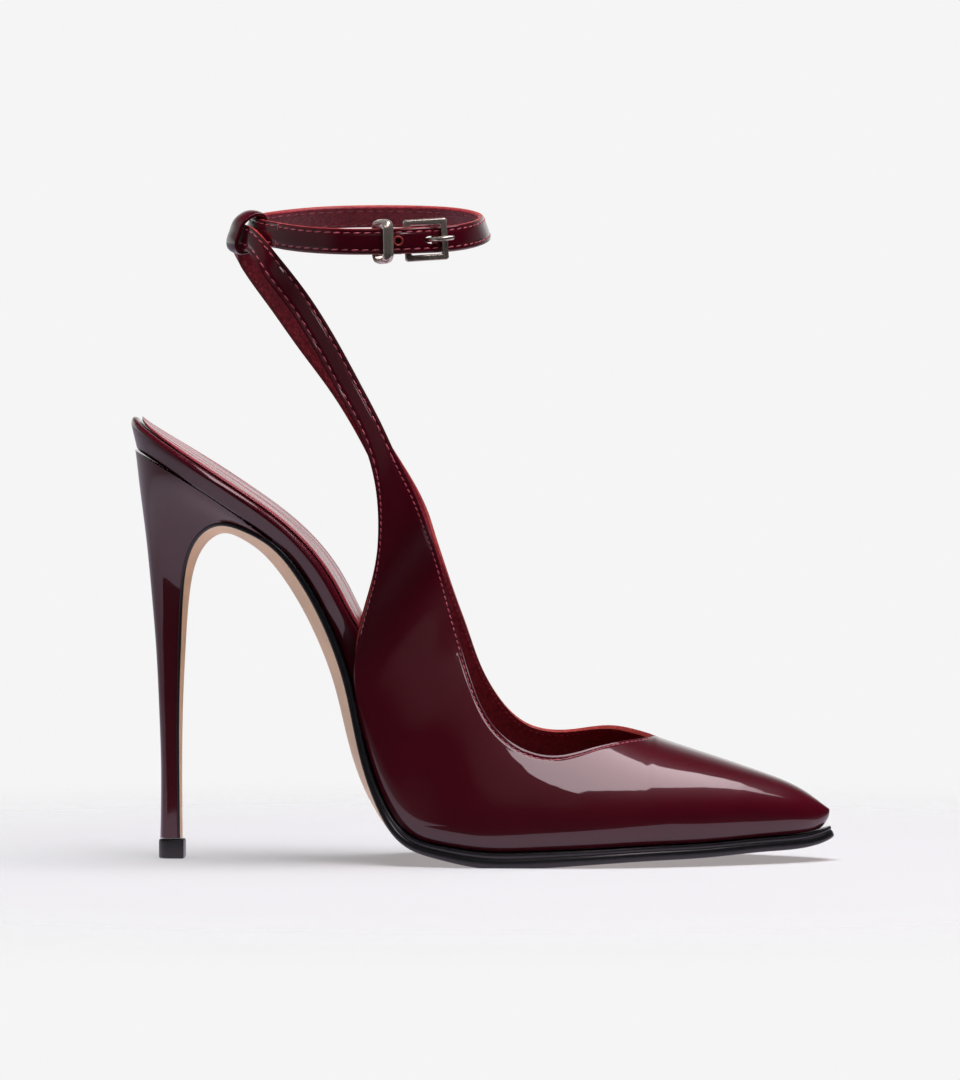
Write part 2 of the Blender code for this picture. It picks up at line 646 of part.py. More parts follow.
def tail_lift(along):
    """How far the free end stands out, by distance past the hinge bar; nothing before the first row."""
    rows = np.array(TAIL_LIFT)
    inside = np.clip(along, rows[0, 0], rows[-1, 0])
    return smooth(rows[:, 0], rows[:, 1:], inside)[:, 0]


BAND_CORNER = 0.35
TAIL_TAPER = 3.0  # length over which the end of the tail is rounded


def ankle_strap(ring, finish):
    fixed_end = BUCKLE_BAR / 2 + 0.4
    along = np.linspace(fixed_end, ring.lap + TAIL_LENGTH, BAND_SECTIONS)
    middle, _, across, out = ring.frame(along)
    lift = np.where(along > ring.lap / 2, tail_lift(along - ring.lap), 0.0)
    middle = middle + out * lift[:, None]
    to_end = np.clip((ring.lap + TAIL_LENGTH - along) / TAIL_TAPER, 0, 1)
    half_width = BAND_WIDTH / 2 * (0.75 + 0.25 * np.sqrt(1 - (1 - to_end) ** 2))
    half_thick = BAND_THICK / 2
    sections = []
    for k in range(len(along)):
        wide, deep = half_width[k], half_thick
        narrow, shallow = wide - BAND_CORNER, deep - BAND_CORNER
        outline = (
            (narrow, deep),
            (wide, shallow),
            (wide, -shallow),
            (narrow, -deep),
            (-narrow, -deep),
            (-wide, -shallow),
            (-wide, shallow),
            (-narrow, deep),
        )
        sections.append([middle[k] + across[k] * a + out[k] * b for a, b in outline])
    made = swept("ankle_strap", sections, finish)
    for number, hole in enumerate(BAND_HOLES):
        cutter = hole_cutter(ring, hole, f"hole_cutter_{number + 1}", finish)
        cut = made.modifiers.new(cutter.name, "BOOLEAN")
        cut.operation = "DIFFERENCE"
        cut.solver = "EXACT"
        cut.object = cutter


def hole_cutter(ring, hole, name, finish):
    """A short upright oval through the strap's free end alone."""
    middle, run, across, out = (value[0] for value in ring.frame([hole.along]))
    lift = tail_lift(np.array([hole.along]))[0]
    around = 12
    sections = []
    for depth in (-BAND_THICK / 2 - 0.2, BAND_THICK / 2 + 0.8):
        loop = []
        for j in range(around):
            turn = 2 * math.pi * j / around
            offset = run * hole.length / 2 * math.cos(turn) + across * hole.width / 2 * math.sin(turn)
            loop.append(middle + out * (lift + depth) + offset)
        sections.append(loop)
    cutter = swept(name, sections, finish)
    cutter.hide_render = True
    cutter.display_type = "WIRE"
    return cutter


def rounded_ring(name, middle, first, second, opening, bar, axis, depth, radius, finish):
    """A rounded rectangular ring of square-cut bar, in the plane of two directions, deep along an axis."""
    corner_steps = 4
    outline = []
    for sign_first, sign_second, start in ((1, 1, 0), (-1, 1, 90), (-1, -1, 180), (1, -1, 270)):
        for step in range(corner_steps + 1):
            turn = math.radians(start + 90 * step / corner_steps)
            outline.append((sign_first, sign_second, math.cos(turn), math.sin(turn)))
    sections = []
    for sign_first, sign_second, cosine, sine in outline:
        loop = []
        for grow, side in ((0, -1), (bar, -1), (bar, 1), (0, 1)):
            reach_first = sign_first * (opening[0] / 2 - radius) + cosine * (radius + grow)
            reach_second = sign_second * (opening[1] / 2 - radius) + sine * (radius + grow)
            loop.append(middle + first * reach_first + second * reach_second + axis * side * depth / 2)
        sections.append(loop)
    made = swept(name, sections, finish, closed=True)
    softened = made.modifiers.new("rounded edges", "BEVEL")
    softened.width = min(bar, depth) * 0.22 * MM
    softened.segments = 1
    softened.limit_method = "ANGLE"
    softened.angle_limit = math.radians(50)


def buckle(ring, finish):
    hinge, _, across, out_hinge = (value[0] for value in ring.frame([0.0]))
    reach = BUCKLE_LENGTH - BUCKLE_BAR
    tongue, _, _, out_tongue = (value[0] for value in ring.frame([-reach]))
    low = hinge + out_hinge * HINGE_OUT
    high = tongue + out_tongue * TONGUE_BAR_OUT
    run = unit(high - low)
    across = unit(across - run * np.dot(across, run))
    axis = np.cross(run, across)
    opening = (reach - BUCKLE_BAR, BUCKLE_HEIGHT - 2 * BUCKLE_BAR)
    middle = (low + high) / 2
    rounded_ring(
        "buckle_frame",
        middle,
        run,
        across,
        opening,
        BUCKLE_BAR,
        axis,
        BUCKLE_BAR,
        BUCKLE_CORNER,
        finish,
    )


def prong(ring, finish):
    distances = np.array([bend.along for bend in PRONG])
    heights = np.array([bend.out for bend in PRONG])
    middle, _, _, out = ring.frame(-distances)
    points = middle + out * heights[:, None]
    fine = smooth(lengths_along(points), points, np.linspace(0, lengths_along(points)[-1], 16))
    curve = bpy.data.curves.new("buckle_prong", "CURVE")
    curve.dimensions = "3D"
    line = curve.splines.new("POLY")
    line.points.add(len(fine) - 1)
    for point, place in zip(line.points, fine * MM):
        point.co = (*place, 1.0)
    curve.bevel_depth = PRONG_RADIUS * MM
    curve.bevel_resolution = 2
    curve.use_fill_caps = True
    curve.materials.append(finish)
    bpy.context.scene.collection.objects.link(bpy.data.objects.new("buckle_prong", curve))


def keeper(ring, finish):
    middle, run, across, out = (value[0] for value in ring.frame([KEEPER_ALONG]))
    lift = tail_lift(np.array([KEEPER_ALONG]))[0] / 2
    turned_run = run * math.cos(KEEPER_TURN) + out * math.sin(KEEPER_TURN)
    turned_out = out * math.cos(KEEPER_TURN) - run * math.sin(KEEPER_TURN)
    rounded_ring(
        "strap_keeper",
        middle + out * lift,
        turned_out,
        across,
        KEEPER_OPENING,
        KEEPER_BAR,
        turned_run,
        KEEPER_WIDTH,
        RING_CORNER,
        finish,
    )


def back_loop(ring, finish):
    """A short sleeve round the ankle strap and the side straps, on the outer side of the centre back."""
    ring_at = np.array([(ANKLE_RING[8].x + ANKLE_RING[9].x) / 2, (ANKLE_RING[8].y + ANKLE_RING[9].y) / 2])
    fine = np.linspace(0, ring.lap, 721)
    line = ring.frame(fine)[0]
    at = fine[np.argmin(np.linalg.norm(line[:, :2] - ring_at, axis=1))]
    middle, run, _, out = (value[0] for value in ring.frame([at]))
    long_side = np.array([math.sin(LOOP_LEAN), 0.0, math.cos(LOOP_LEAN)])
    long_side = unit(long_side - run * np.dot(long_side, run))
    short_side = np.cross(run, long_side)
    short_side = short_side * np.sign(np.dot(short_side, out))
    rounded_ring(
        "back_loop",
        middle + short_side * LOOP_OUT - long_side * LOOP_DROP,
        short_side,
        long_side,
        LOOP_OPENING,
        LOOP_WALL,
        run,
        LOOP_WIDTH,
        RING_CORNER,
        finish,
    )


def build():
    clear_scene()
    patent = material("burgundy patent leather", (0.075, 0.006, 0.012), 0.08)
    sole_leather = material("sole leather with black edge", (0.55, 0.34, 0.20), 0.55)
    rubber = material("black top piece", (0.012, 0.012, 0.014), 0.5)
    sock = material("red sock leather", (0.36, 0.05, 0.07), 0.3)
    metal = material("plated buckle metal", (0.46, 0.44, 0.42), 0.25, 1.0)
    sole = sole_board()
    bed = bed_board()
    seat_at = len(FOREPART) + len(SHANK)
    seat_front = sole.knots[seat_at]
    before_seat = np.linspace(1.2, seat_front, BEFORE_SEAT_SECTIONS, endpoint=False)
    on_heel = np.linspace(seat_front, sole.knots[-1], HEEL_SECTIONS)
    on_seat = np.linspace(seat_front, bed.knots[-1] - BED_END, SEAT_SECTIONS)
    on_bed = np.concatenate([before_seat[before_seat > BED_START], on_seat])
    sock_part = (on_bed > SOCK_START) & (on_bed < bed.knots[-1] - SOCK_END)
    outsole(sole, np.concatenate([before_seat, on_heel]), sole_leather)
    tip_section = heel(sole, on_heel[on_heel > seat_front + WEDGE_START], patent)
    top_piece(tip_section, rubber)
    footbed(bed, on_bed, patent)
    insole(bed, on_bed[sock_part], sock)
    upper(bed, patent)
    ring = AnkleRing()
    ankle_strap(ring, patent)
    buckle(ring, metal)
    prong(ring, metal)
    keeper(ring, metal)
    back_loop(ring, patent)


build()
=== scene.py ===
"""Looks of a right-foot stiletto in burgundy patent leather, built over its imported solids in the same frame.

The tables are in millimetres: +X is the toe, +Y the inner side of the foot, +Z up, and the floor is z = 0.
"""

import math
from collections import namedtuple

import bmesh
import bpy
import numpy as np
from bpy.props import FloatProperty, FloatVectorProperty, PointerProperty
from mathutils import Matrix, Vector


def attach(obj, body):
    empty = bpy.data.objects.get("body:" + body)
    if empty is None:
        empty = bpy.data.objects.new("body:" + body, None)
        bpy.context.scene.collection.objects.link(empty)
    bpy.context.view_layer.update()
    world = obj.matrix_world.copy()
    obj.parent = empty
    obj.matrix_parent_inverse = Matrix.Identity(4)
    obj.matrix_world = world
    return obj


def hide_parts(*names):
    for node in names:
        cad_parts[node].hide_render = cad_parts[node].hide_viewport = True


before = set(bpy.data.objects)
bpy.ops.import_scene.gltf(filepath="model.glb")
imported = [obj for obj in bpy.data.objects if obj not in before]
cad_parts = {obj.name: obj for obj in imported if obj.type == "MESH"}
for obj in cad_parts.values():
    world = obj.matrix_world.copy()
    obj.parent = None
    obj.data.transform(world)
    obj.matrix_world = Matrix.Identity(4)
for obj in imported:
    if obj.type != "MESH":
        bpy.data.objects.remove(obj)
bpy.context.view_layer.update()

bl_info = {
    "name": "Patent stiletto",
    "version": (1, 0, 0),
    "blender": (4, 5, 0),
    "location": "View3D > Sidebar > Stiletto",
    "description": "Builds a burgundy patent leather stiletto with side wings and a buckled ankle strap",
    "category": "Object",
}

MM = 0.001

# Clearances and sizes, most of them the solids' own
SEAM = 0.3  # clearance between pieces that meet
SEAT_SEAM = 0.1  # how far the heel stays under the seat line, which the footbed clears
WELT = 0.9  # how far the sole edge stands out past the upper's base
UPPER_LIFT = 0.5  # clearance of the upper to the sole
REAR_LIFT = 0.5  # the extra clearance where the upper leaves the sole
BED_INSET = 4.6  # from the sole edge to the footbed inside the upper
SEAT_INSET = 0.4  # from the sole edge to the footbed behind the upper
WING_HIDES = 6.0  # length of footbed behind the upper's rear corner that still lies inside
SOCK_MARGIN = 1.7  # rim of footbed that shows round the sock
SEAT_BULGE = 1.2  # rise of the heel seat above a straight line
STEEPEST_SLANT = 0.35  # least cosine of an edge's angle to its section that an inset is divided by
BAND_WIDTH = 7.5  # ankle strap
BAND_THICK = 1.8
TOP_PIECE_HEIGHT = 5.6
TOP_PIECE_GROW = 0.35  # how far the top piece stands out past the heel tip
BUCKLE_LENGTH = 12.6
BUCKLE_HEIGHT = 12.0
BUCKLE_BAR = 1.75
BUCKLE_CORNER = 0.6  # inner corner radius of the buckle frame
FRAME_CORNER = 0.9  # its outer corner radius
KEEPER_WIDTH = 3.2
LOOP_WIDTH = 7.5
RING_CORNER = 1.6  # inner corner radius of the keeper

# Each station is a cross-section of the last: the feather line, the sole and the rib of the upper over it
Station = namedtuple("Station", "x z outer inner edge crown crest_x crest_z trim_outer trim_inner bed mid")
FOREPART = (
    Station(101.3, 10.0, -2.0, 2.0, 3.4, 0.0, 101.1, 14.9, 1.0, 1.0, 3.0, 2.0),
    Station(99.2, 9.2, 3.0, 7.0, 3.6, 0.0, 98.4, 17.0, 1.0, 1.0, 3.0, 2.0),
    Station(94.0, 8.1, 9.2, 12.6, 3.8, 0.0, 92.6, 21.0, 1.0, 1.0, 3.0, 2.0),
    Station(82.0, 7.5, 17.6, 20.2, 3.9, 0.0, 80.6, 26.0, 1.0, 1.0, 3.0, 1.9),
    Station(66.0, 6.5, 26.4, 28.0, 4.0, 0.0, 64.8, 31.3, 1.0, 1.0, 3.0, 1.7),
    Station(50.0, 6.0, 32.8, 33.4, 4.1, 0.0, 50.2, 36.2, 1.0, 1.0, 3.0, 1.3),
    Station(34.0, 5.2, 36.2, 36.4, 4.2, 0.0, 37.5, 42.0, 0.81, 0.90, 3.0, 0.8),
    Station(18.0, 4.5, 37.2, 37.2, 4.6, 0.0, 26.5, 49.5, 0.61, 0.71, 3.0, 0.4),
    Station(3.0, 4.3, 37.2, 35.6, 4.6, 0.0, 17.5, 59.5, 0.555, 0.61, 3.0, 0.1),
    Station(-10.5, 6.0, 35.2, 31.4, 3.8, 0.0, 11.0, 70.0, 0.587, 0.63, 3.2, 0.0),
    Station(-20.0, 9.0, 32.6, 26.6, 3.2, 0.8, 7.2, 79.0, 0.641, 0.666, 3.6, 0.0),
    Station(-27.0, 17.5, 29.8, 22.4, 2.4, 2.4, 4.8, 87.0, 0.671, 0.688, 4.4, 0.0),
    Station(-32.6, 32.0, 27.4, 19.2, 2.0, 3.6, 3.2, 96.0, 0.667, 0.672, 5.6, 0.0),
    Station(-37.2, 52.0, 25.4, 17.8, 1.9, 4.2, 1.9, 105.0, 0.647, 0.637, 6.6, 0.0),
)
THROAT = 5  # the station where the topline leaves the crest
REAR_CORNER = 13  # the station where the upper leaves the sole

Shank = namedtuple("Shank", "x z outer inner edge crown bed")
SHANK = (
    Shank(-43.0, 68.5, 24.4, 18.2, 1.9, 4.6, 7.0),
    Shank(-51.5, 84.0, 24.2, 20.0, 1.8, 4.8, 7.0),
)

# Heel sections from the seat down to the tip
Heel = namedtuple("Heel", "breast_x breast_z back_x back_z half edge crown")
HEEL = (
    Heel(-60.2, 93.3, -102.0, 120.0, 23.0, 1.5, 4.4),
    Heel(-68.4, 97.4, -101.5, 116.0, 21.0, 1.2, 3.2),
    Heel(-75.6, 98.9, -100.9, 110.5, 17.8, 1.1, 2.5),
    Heel(-82.0, 96.0, -100.0, 103.0, 13.6, 1.0, 2.2),
    Heel(-86.4, 89.0, -98.8, 93.0, 9.6, 1.0, 1.7),
    Heel(-88.5, 77.5, -97.3, 77.0, 6.4, 1.0, 1.2),
    Heel(-89.2, 63.0, -96.1, 62.0, 4.8, 0.9, 0.9),
    Heel(-89.7, 46.0, -95.3, 46.0, 3.9, 0.8, 0.7),
    Heel(-89.8, 26.0, -94.7, 26.0, 3.4, 0.8, 0.5),
    Heel(-89.6, 6.0, -95.0, 6.0, 3.3, 0.8, 0.4),
)
HEEL_FLAT = 0.55  # share of a heel section, from the breast, that keeps its full width

# Sections of the footbed over the heel seat, by share of the way from its front to its back
Seat = namedtuple("Seat", "share outer inner bed upright")
SEAT = (
    Seat(0.0, 23.6, 21.6, 6.9, 0.0),
    Seat(0.33, 24.9, 23.9, 6.9, 0.1),
    Seat(0.62, 23.4, 23.3, 7.1, 0.35),
    Seat(0.86, 15.8, 16.2, 7.9, 0.85),
    Seat(1.0, 0.0, 0.0, 9.2, 1.1),
)

# Ribs of a wing and its side strap, from the rear corner up
Rib = namedtuple("Rib", "x z half crest_x crest_z trim")
OUTER_WING = (
    Rib(-34.4, 67.5, 26.6, 1.0, 113.5, 0.582),
    Rib(-30.6, 81.5, 28.9, 0.0, 122.0, 0.477),
    Rib(-28.9, 96.0, 29.4, -1.5, 130.0, 0.364),
    Rib(-30.0, 111.0, 28.6, -3.2, 138.5, 0.245),
    Rib(-33.8, 123.3, 27.0, -5.8, 146.0, 0.20),
    Rib(-41.0, 136.8, 24.4, -11.2, 155.5, 0.20),
    Rib(-48.6, 150.3, 22.2, -18.8, 168.7, 0.20),
    Rib(-56.3, 162.0, 20.3, -27.6, 182.0, 0.20),
    Rib(-63.6, 171.6, 18.9, -40.0, 196.0, 0.20),
    Rib(-69.0, 178.1, 10.4, -61.9, 211.4, 0.20),
)
INNER_WING = (
    Rib(-35.0, 67.5, 20.4, 0.5, 113.5, 0.57),
    Rib(-31.2, 81.5, 24.0, -0.8, 122.0, 0.463),
    Rib(-30.0, 96.0, 26.0, -3.0, 130.0, 0.345),
    Rib(-32.6, 110.5, 26.4, -6.5, 138.5, 0.237),
    Rib(-38.2, 122.8, 25.4, -11.5, 146.0, 0.20),
    Rib(-46.5, 136.8, 22.5, -18.5, 157.5, 0.20),
    Rib(-55.8, 149.8, 18.5, -27.5, 170.5, 0.20),
    Rib(-64.0, 161.8, 14.0, -36.0, 182.8, 0.20),
    Rib(-70.6, 171.4, 10.0, -45.0, 195.2, 0.20),
    Rib(-73.8, 177.3, 7.5, -61.8, 209.1, 0.20),
)
BACK_RIB = Rib(-73.7, 179.1, 0.0, -63.2, 211.4, 0.20)

# Middle line of the ankle strap seen from above, from the front by the outer side
Bend = namedtuple("Bend", "x y")
ANKLE_RING = (
    Bend(0.2, 0.0),
    Bend(-1.4, -10.5),
    Bend(-5.8, -20.3),
    Bend(-13.5, -26.8),
    Bend(-24.0, -29.6),
    Bend(-37.0, -30.2),
    Bend(-49.0, -25.6),
    Bend(-58.1, -16.4),
    Bend(-64.8, -7.3),
    Bend(-68.6, 1.5),
    Bend(-65.5, 10.5),
    Bend(-59.0, 19.5),
    Bend(-49.0, 27.5),
    Bend(-36.0, 31.0),
    Bend(-22.0, 30.0),
    Bend(-10.0, 24.5),
    Bend(-2.3, 13.5),
)
RING_HEIGHT = 184.3  # of the ring's middle line at y = 0
RING_TILT = 0.14  # rise per millimetre towards the inner side
RING_LEAN = math.radians(36.0)  # how far the strap's face leans upwards on the inner side
HINGE_X = -20.9  # hinge bar of the buckle, on the outer side
TAIL_LENGTH = 41.0  # of the strap's free end past the hinge bar
RING_STEPS = 1440

# Lift of the strap's free end over its fixed end, by distance past the hinge bar
Lift = namedtuple("Lift", "along out")
TAIL_LIFT = (
    Lift(-17.0, 0.0),
    Lift(-10.7, 0.25),
    Lift(-6.8, 1.5),
    Lift(0.0, 2.75),
    Lift(6.0, 2.25),
    Lift(41.0, 2.2),
)
HINGE_OUT = 0.55  # how far the frame's two bars stand out from the strap's line
TONGUE_BAR_OUT = 2.6
Hole = namedtuple("Hole", "along length width")
PUNCHED_HOLE = Hole(2.4, 1.9, 1.9)
PRONG_HOLE = Hole(-7.0, 5.0, 2.3)

# The prong's bends, as distance before the hinge bar and height over the strap's line
PRONG = (
    Lift(1.9, 0.25),
    Lift(5.0, 0.3),
    Lift(6.4, 1.3),
    Lift(7.6, 3.0),
    Lift(9.0, 4.2),
    Lift(10.7, 4.6),
    Lift(12.2, 4.45),
)
PRONG_RADIUS = 0.7
KEEPER_ALONG = 6.6  # distance of the metal keeper past the hinge bar
KEEPER_TURN = math.radians(22.0)
KEEPER_OPENING = (6.6, 10.0)  # through the straps, and along their width
KEEPER_BAR = 1.1
LOOP_WALL = 1.2
LOOP_LEAN = math.radians(17.0)
LOOP_BENDS = (8, 9)  # the loop sits half-way between these two bends of the ankle strap
# Inside of the back loop, drawn round the ankle strap and the side strap below it: millimetres out and up
LOOP_OUTLINE = (
    (-1.45, 0.0),
    (-1.4, 3.3),
    (-0.7, 4.25),
    (1.3, 4.25),
    (3.0, 2.9),
    (4.2, 1.0),
    (4.5, -2.4),
    (4.4, -5.3),
    (3.5, -6.45),
    (1.7, -6.1),
    (-0.4, -4.7),
    (-1.35, -3.2),
)

# Fineness of the pieces
SOLE_SECTIONS = 150
HEEL_SECTIONS = 70
SEAT_SECTIONS = 60
RIBS_TO_THROAT = 66
RIBS_TO_BACK = 150
RIB_MIDDLE_POINTS = 34
BAND_SECTIONS = 420
LOOP_STEPS = 72


def linear(code):
    """An sRGB hex colour as linear red, green and blue."""
    shares = [int(code[k : k + 2], 16) / 255 for k in (1, 3, 5)]
    return tuple(v / 12.92 if v <= 0.04045 else ((v + 0.055) / 1.055) ** 2.4 for v in shares)


def size_setting(name, description, default, low, high):
    """A size in metres that a user may change."""
    return FloatProperty(
        name=name,
        description=description,
        default=default,
        min=low,
        max=high,
        unit="LENGTH",
        subtype="DISTANCE",
    )


def colour_setting(name, description, code):
    """A colour that a user may change."""
    return FloatVectorProperty(
        name=name,
        description=description,
        default=linear(code),
        min=0.0,
        max=1.0,
        subtype="COLOR",
    )


class StilettoSizes(bpy.types.PropertyGroup):
    """Sizes of the leather work that can be changed without touching the last."""

    wall: size_setting("Upper thickness", "Patent leather and lining together", 0.0013, 0.0008, 0.003)
    strap_pitch: size_setting(
        "Strap stitch pitch", "Distance from stitch to stitch on the straps", 0.003, 0.001, 0.006
    )
    wing_pitch: size_setting(
        "Wing stitch pitch", "Distance from stitch to stitch on the wings and topline", 0.0019, 0.001, 0.006
    )
    thread_width: size_setting("Thread width", "Width of a stitch", 0.0005, 0.0002, 0.001)
    stitch_inset: size_setting(
        "Stitch inset", "Distance of a stitch row from the cut edge", 0.0013, 0.0008, 0.0025
    )


class StilettoColours(bpy.types.PropertyGroup):
    """Colours of the leathers, the thread and the metal."""

    patent: colour_setting("Patent leather", "Dye under the lacquer", "#400412")
    lining: colour_setting("Lining", "Grained leather inside the wings and straps", "#922d3b")
    cut_edge: colour_setting("Cut edge", "Raw edge between patent leather and lining", "#963632")
    thread: colour_setting("Thread", "Sewing thread of the edge rows", "#a84b58")
    sole: colour_setting("Sole leather", "Smooth tan leather of the sole and the heel breast", "#ecc6a0")
    sock: colour_setting("Sock", "Polished leather of the insole", "#7c2a34")
    metal: colour_setting("Buckle metal", "Antique nickel plating", "#c8c0b5")


# Curves and small vector work


def smooth(knots, rows, wanted):
    """The curve of continuous curvature through the rows at the knots, read at the wanted values."""
    knots, rows = np.asarray(knots, float), np.asarray(rows, float)
    gaps = np.diff(knots)
    count = len(knots)
    system = np.eye(count)
    right = np.zeros_like(rows)
    for k in range(1, count - 1):
        system[k, k - 1 : k + 2] = gaps[k - 1], 2 * (gaps[k - 1] + gaps[k]), gaps[k]
        right[k] = 6 * ((rows[k + 1] - rows[k]) / gaps[k] - (rows[k] - rows[k - 1]) / gaps[k - 1])
    bends = np.linalg.solve(system, right)
    wanted = np.asarray(wanted, float)
    low = np.clip(np.searchsorted(knots, wanted) - 1, 0, count - 2)
    after = ((wanted - knots[low]) / gaps[low])[:, None]
    before = 1 - after
    swing = (before**3 - before) * bends[low] + (after**3 - after) * bends[low + 1]
    return before * rows[low] + after * rows[low + 1] + swing * gaps[low][:, None] ** 2 / 6


def lengths_along(points):
    steps = np.linalg.norm(np.diff(points, axis=0), axis=1)
    return np.concatenate([[0.0], np.cumsum(steps)])


def unit(vectors):
    return vectors / np.maximum(np.linalg.norm(vectors, axis=-1, keepdims=True), 1e-12)


def blend(value, low, high):
    """0 below low, 1 above high, and a smooth step between."""
    share = np.clip((np.asarray(value, float) - low) / (high - low), 0, 1)
    return share * share * (3 - 2 * share)


def bump_at(distance, middle, reach):
    """A smooth bump of height 1 round a middle, nothing beyond the reach."""
    share = np.clip(np.abs(np.asarray(distance, float) - middle) / reach, 0, 1)
    return (1 - share * share) ** 2


# Meshes


def add_piece(name, points, faces, finishes, numbers=None, flat_angle=38.0):
    """A smooth mesh object from points in millimetres, with a finish number for each face."""
    mesh = bpy.data.meshes.new(name)
    mesh.from_pydata((np.asarray(points).reshape(-1, 3) * MM).tolist(), [], faces)
    for finish in finishes:
        mesh.materials.append(finish)
    if numbers is not None:
        mesh.polygons.foreach_set("material_index", np.asarray(numbers, np.int32))
    mesh.shade_smooth()
    mesh.set_sharp_from_angle(angle=math.radians(flat_angle))
    made = bpy.data.objects.new(name, mesh)
    bpy.context.scene.collection.objects.link(made)
    return made


def face_outwards(made):
    work = bmesh.new()
    work.from_mesh(made.data)
    bmesh.ops.remove_doubles(work, verts=work.verts, dist=1e-7)
    bmesh.ops.recalc_face_normals(work, faces=work.faces)
    work.to_mesh(made.data)
    work.free()


def lofted(name, sections, finishes, strip_numbers, closed=False, cap_number=0, flat_angle=38.0):
    """A closed solid through equal loops of points; each strip along the loops has its finish number."""
    sections = np.asarray(sections)
    count, around = sections.shape[:2]
    faces, numbers = [], []
    for i in range(count if closed else count - 1):
        here, there = i * around, (i + 1) % count * around
        for j in range(around):
            k = (j + 1) % around
            faces.append((here + j, here + k, there + k, there + j))
            numbers.append(strip_numbers[j])
    if not closed:
        last = (count - 1) * around
        faces.append(tuple(range(around)))
        faces.append(tuple(range(last, last + around)))
        numbers += [cap_number, cap_number]
    made = add_piece(name, sections, faces, finishes, numbers, flat_angle)
    face_outwards(made)
    return made


def applied(made):
    """Turns the piece with its modifiers into a plain mesh."""
    graph = bpy.context.evaluated_depsgraph_get()
    mesh = bpy.data.meshes.new_from_object(made.evaluated_get(graph))
    made.modifiers.clear()
    made.data = mesh
    return made


def carried(made, slot, *nodes):
    """The piece rides on the shoe's one body and stands for its solids, which it hides; the slot is not used.
    """
    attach(made, "root")
    if nodes:
        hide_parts(*nodes)


# Materials


def add_node(tree, kind, settings=None, links=None):
    """Adds a node with its own settings, the values of its inputs and the links to them."""
    made = tree.nodes.new(kind)
    properties = {item.identifier for item in made.bl_rna.properties}
    for name, value in (settings or {}).items():
        if name in properties:
            setattr(made, name, value)
        else:
            made.inputs[name].default_value = value
    for name, source in (links or {}).items():
        tree.links.new(source, made.inputs[name])
    return made


def new_material(name):
    """A material with its shader and the piece's own coordinates in metres."""
    made = bpy.data.materials.new(name)
    made.use_nodes = True
    tree = made.node_tree
    shader = tree.nodes["Principled BSDF"]
    place = add_node(tree, "ShaderNodeTexCoord").outputs["Object"]
    return made, tree, shader, place


def set_shader(shader, settings):
    for name, value in settings.items():
        shader.inputs[name].default_value = value


def per_metre(millimetres):
    """Scale of a pattern whose features are this many millimetres apart."""
    return 1 / (millimetres * MM)


def shaded(colour, factor):
    """A colour made darker or lighter, with full opacity."""
    return (*(min(1.0, part * factor) for part in colour), 1.0)


def opaque(code):
    """An sRGB hex colour as linear values, with full opacity."""
    return (*linear(code), 1.0)


def set_stops(ramp, stops):
    """Gives a colour ramp its stops, each a place and a colour."""
    for number, (place, tone) in enumerate(stops):
        stop = ramp.elements[number] if number < 2 else ramp.elements.new(place)
        stop.position = place
        stop.color = tone


def patent_leather(colours):
    # Smooth calf leather under a thick polyurethane lacquer: a deep dye seen through a mirror-like coat that
    # keeps faint waves of the leather below, with a grain too fine to see drawn at 1.1 mm.
    made, tree, shader, place = new_material("burgundy patent leather")
    cloud = add_node(tree, "ShaderNodeTexNoise", {"Scale": per_metre(30), "Detail": 2.0}, {"Vector": place})
    dye = add_node(tree, "ShaderNodeValToRGB", None, {"Fac": cloud.outputs["Fac"]})
    set_stops(dye.color_ramp, ((0.0, shaded(colours.patent, 0.8)), (1.0, shaded(colours.patent, 1.2))))
    grain = add_node(tree, "ShaderNodeTexNoise", {"Scale": per_metre(1.1), "Detail": 2.0}, {"Vector": place})
    grain_bump = add_node(
        tree, "ShaderNodeBump", {"Strength": 0.15, "Distance": 0.00005}, {"Height": grain.outputs["Fac"]}
    )
    wave = add_node(tree, "ShaderNodeTexNoise", {"Scale": per_metre(9), "Detail": 1.0}, {"Vector": place})
    wave_bump = add_node(
        tree, "ShaderNodeBump", {"Strength": 0.45, "Distance": 0.0001}, {"Height": wave.outputs["Fac"]}
    )
    tree.links.new(dye.outputs["Color"], shader.inputs["Base Color"])
    tree.links.new(grain_bump.outputs["Normal"], shader.inputs["Normal"])
    tree.links.new(wave_bump.outputs["Normal"], shader.inputs["Coat Normal"])
    set_shader(
        shader,
        {
            "Roughness": 0.35,
            "Specular IOR Level": 0.15,
            "Coat Weight": 1.0,
            "Coat Roughness": 0.04,
            "Coat IOR": 1.5,
        },
    )
    return made


LINING_STAIN = (0.62, 0.55, 0.55)  # share of red, green and blue that the cloudy stains leave
LINING_SHADE_HEIGHTS = (0.02, 0.05)  # heights in metres between which the painted shade on the lining lifts
# share of the dye that the painted shade leaves at its darkest, lowest point
LINING_SHADE_DARKEST = 0.3


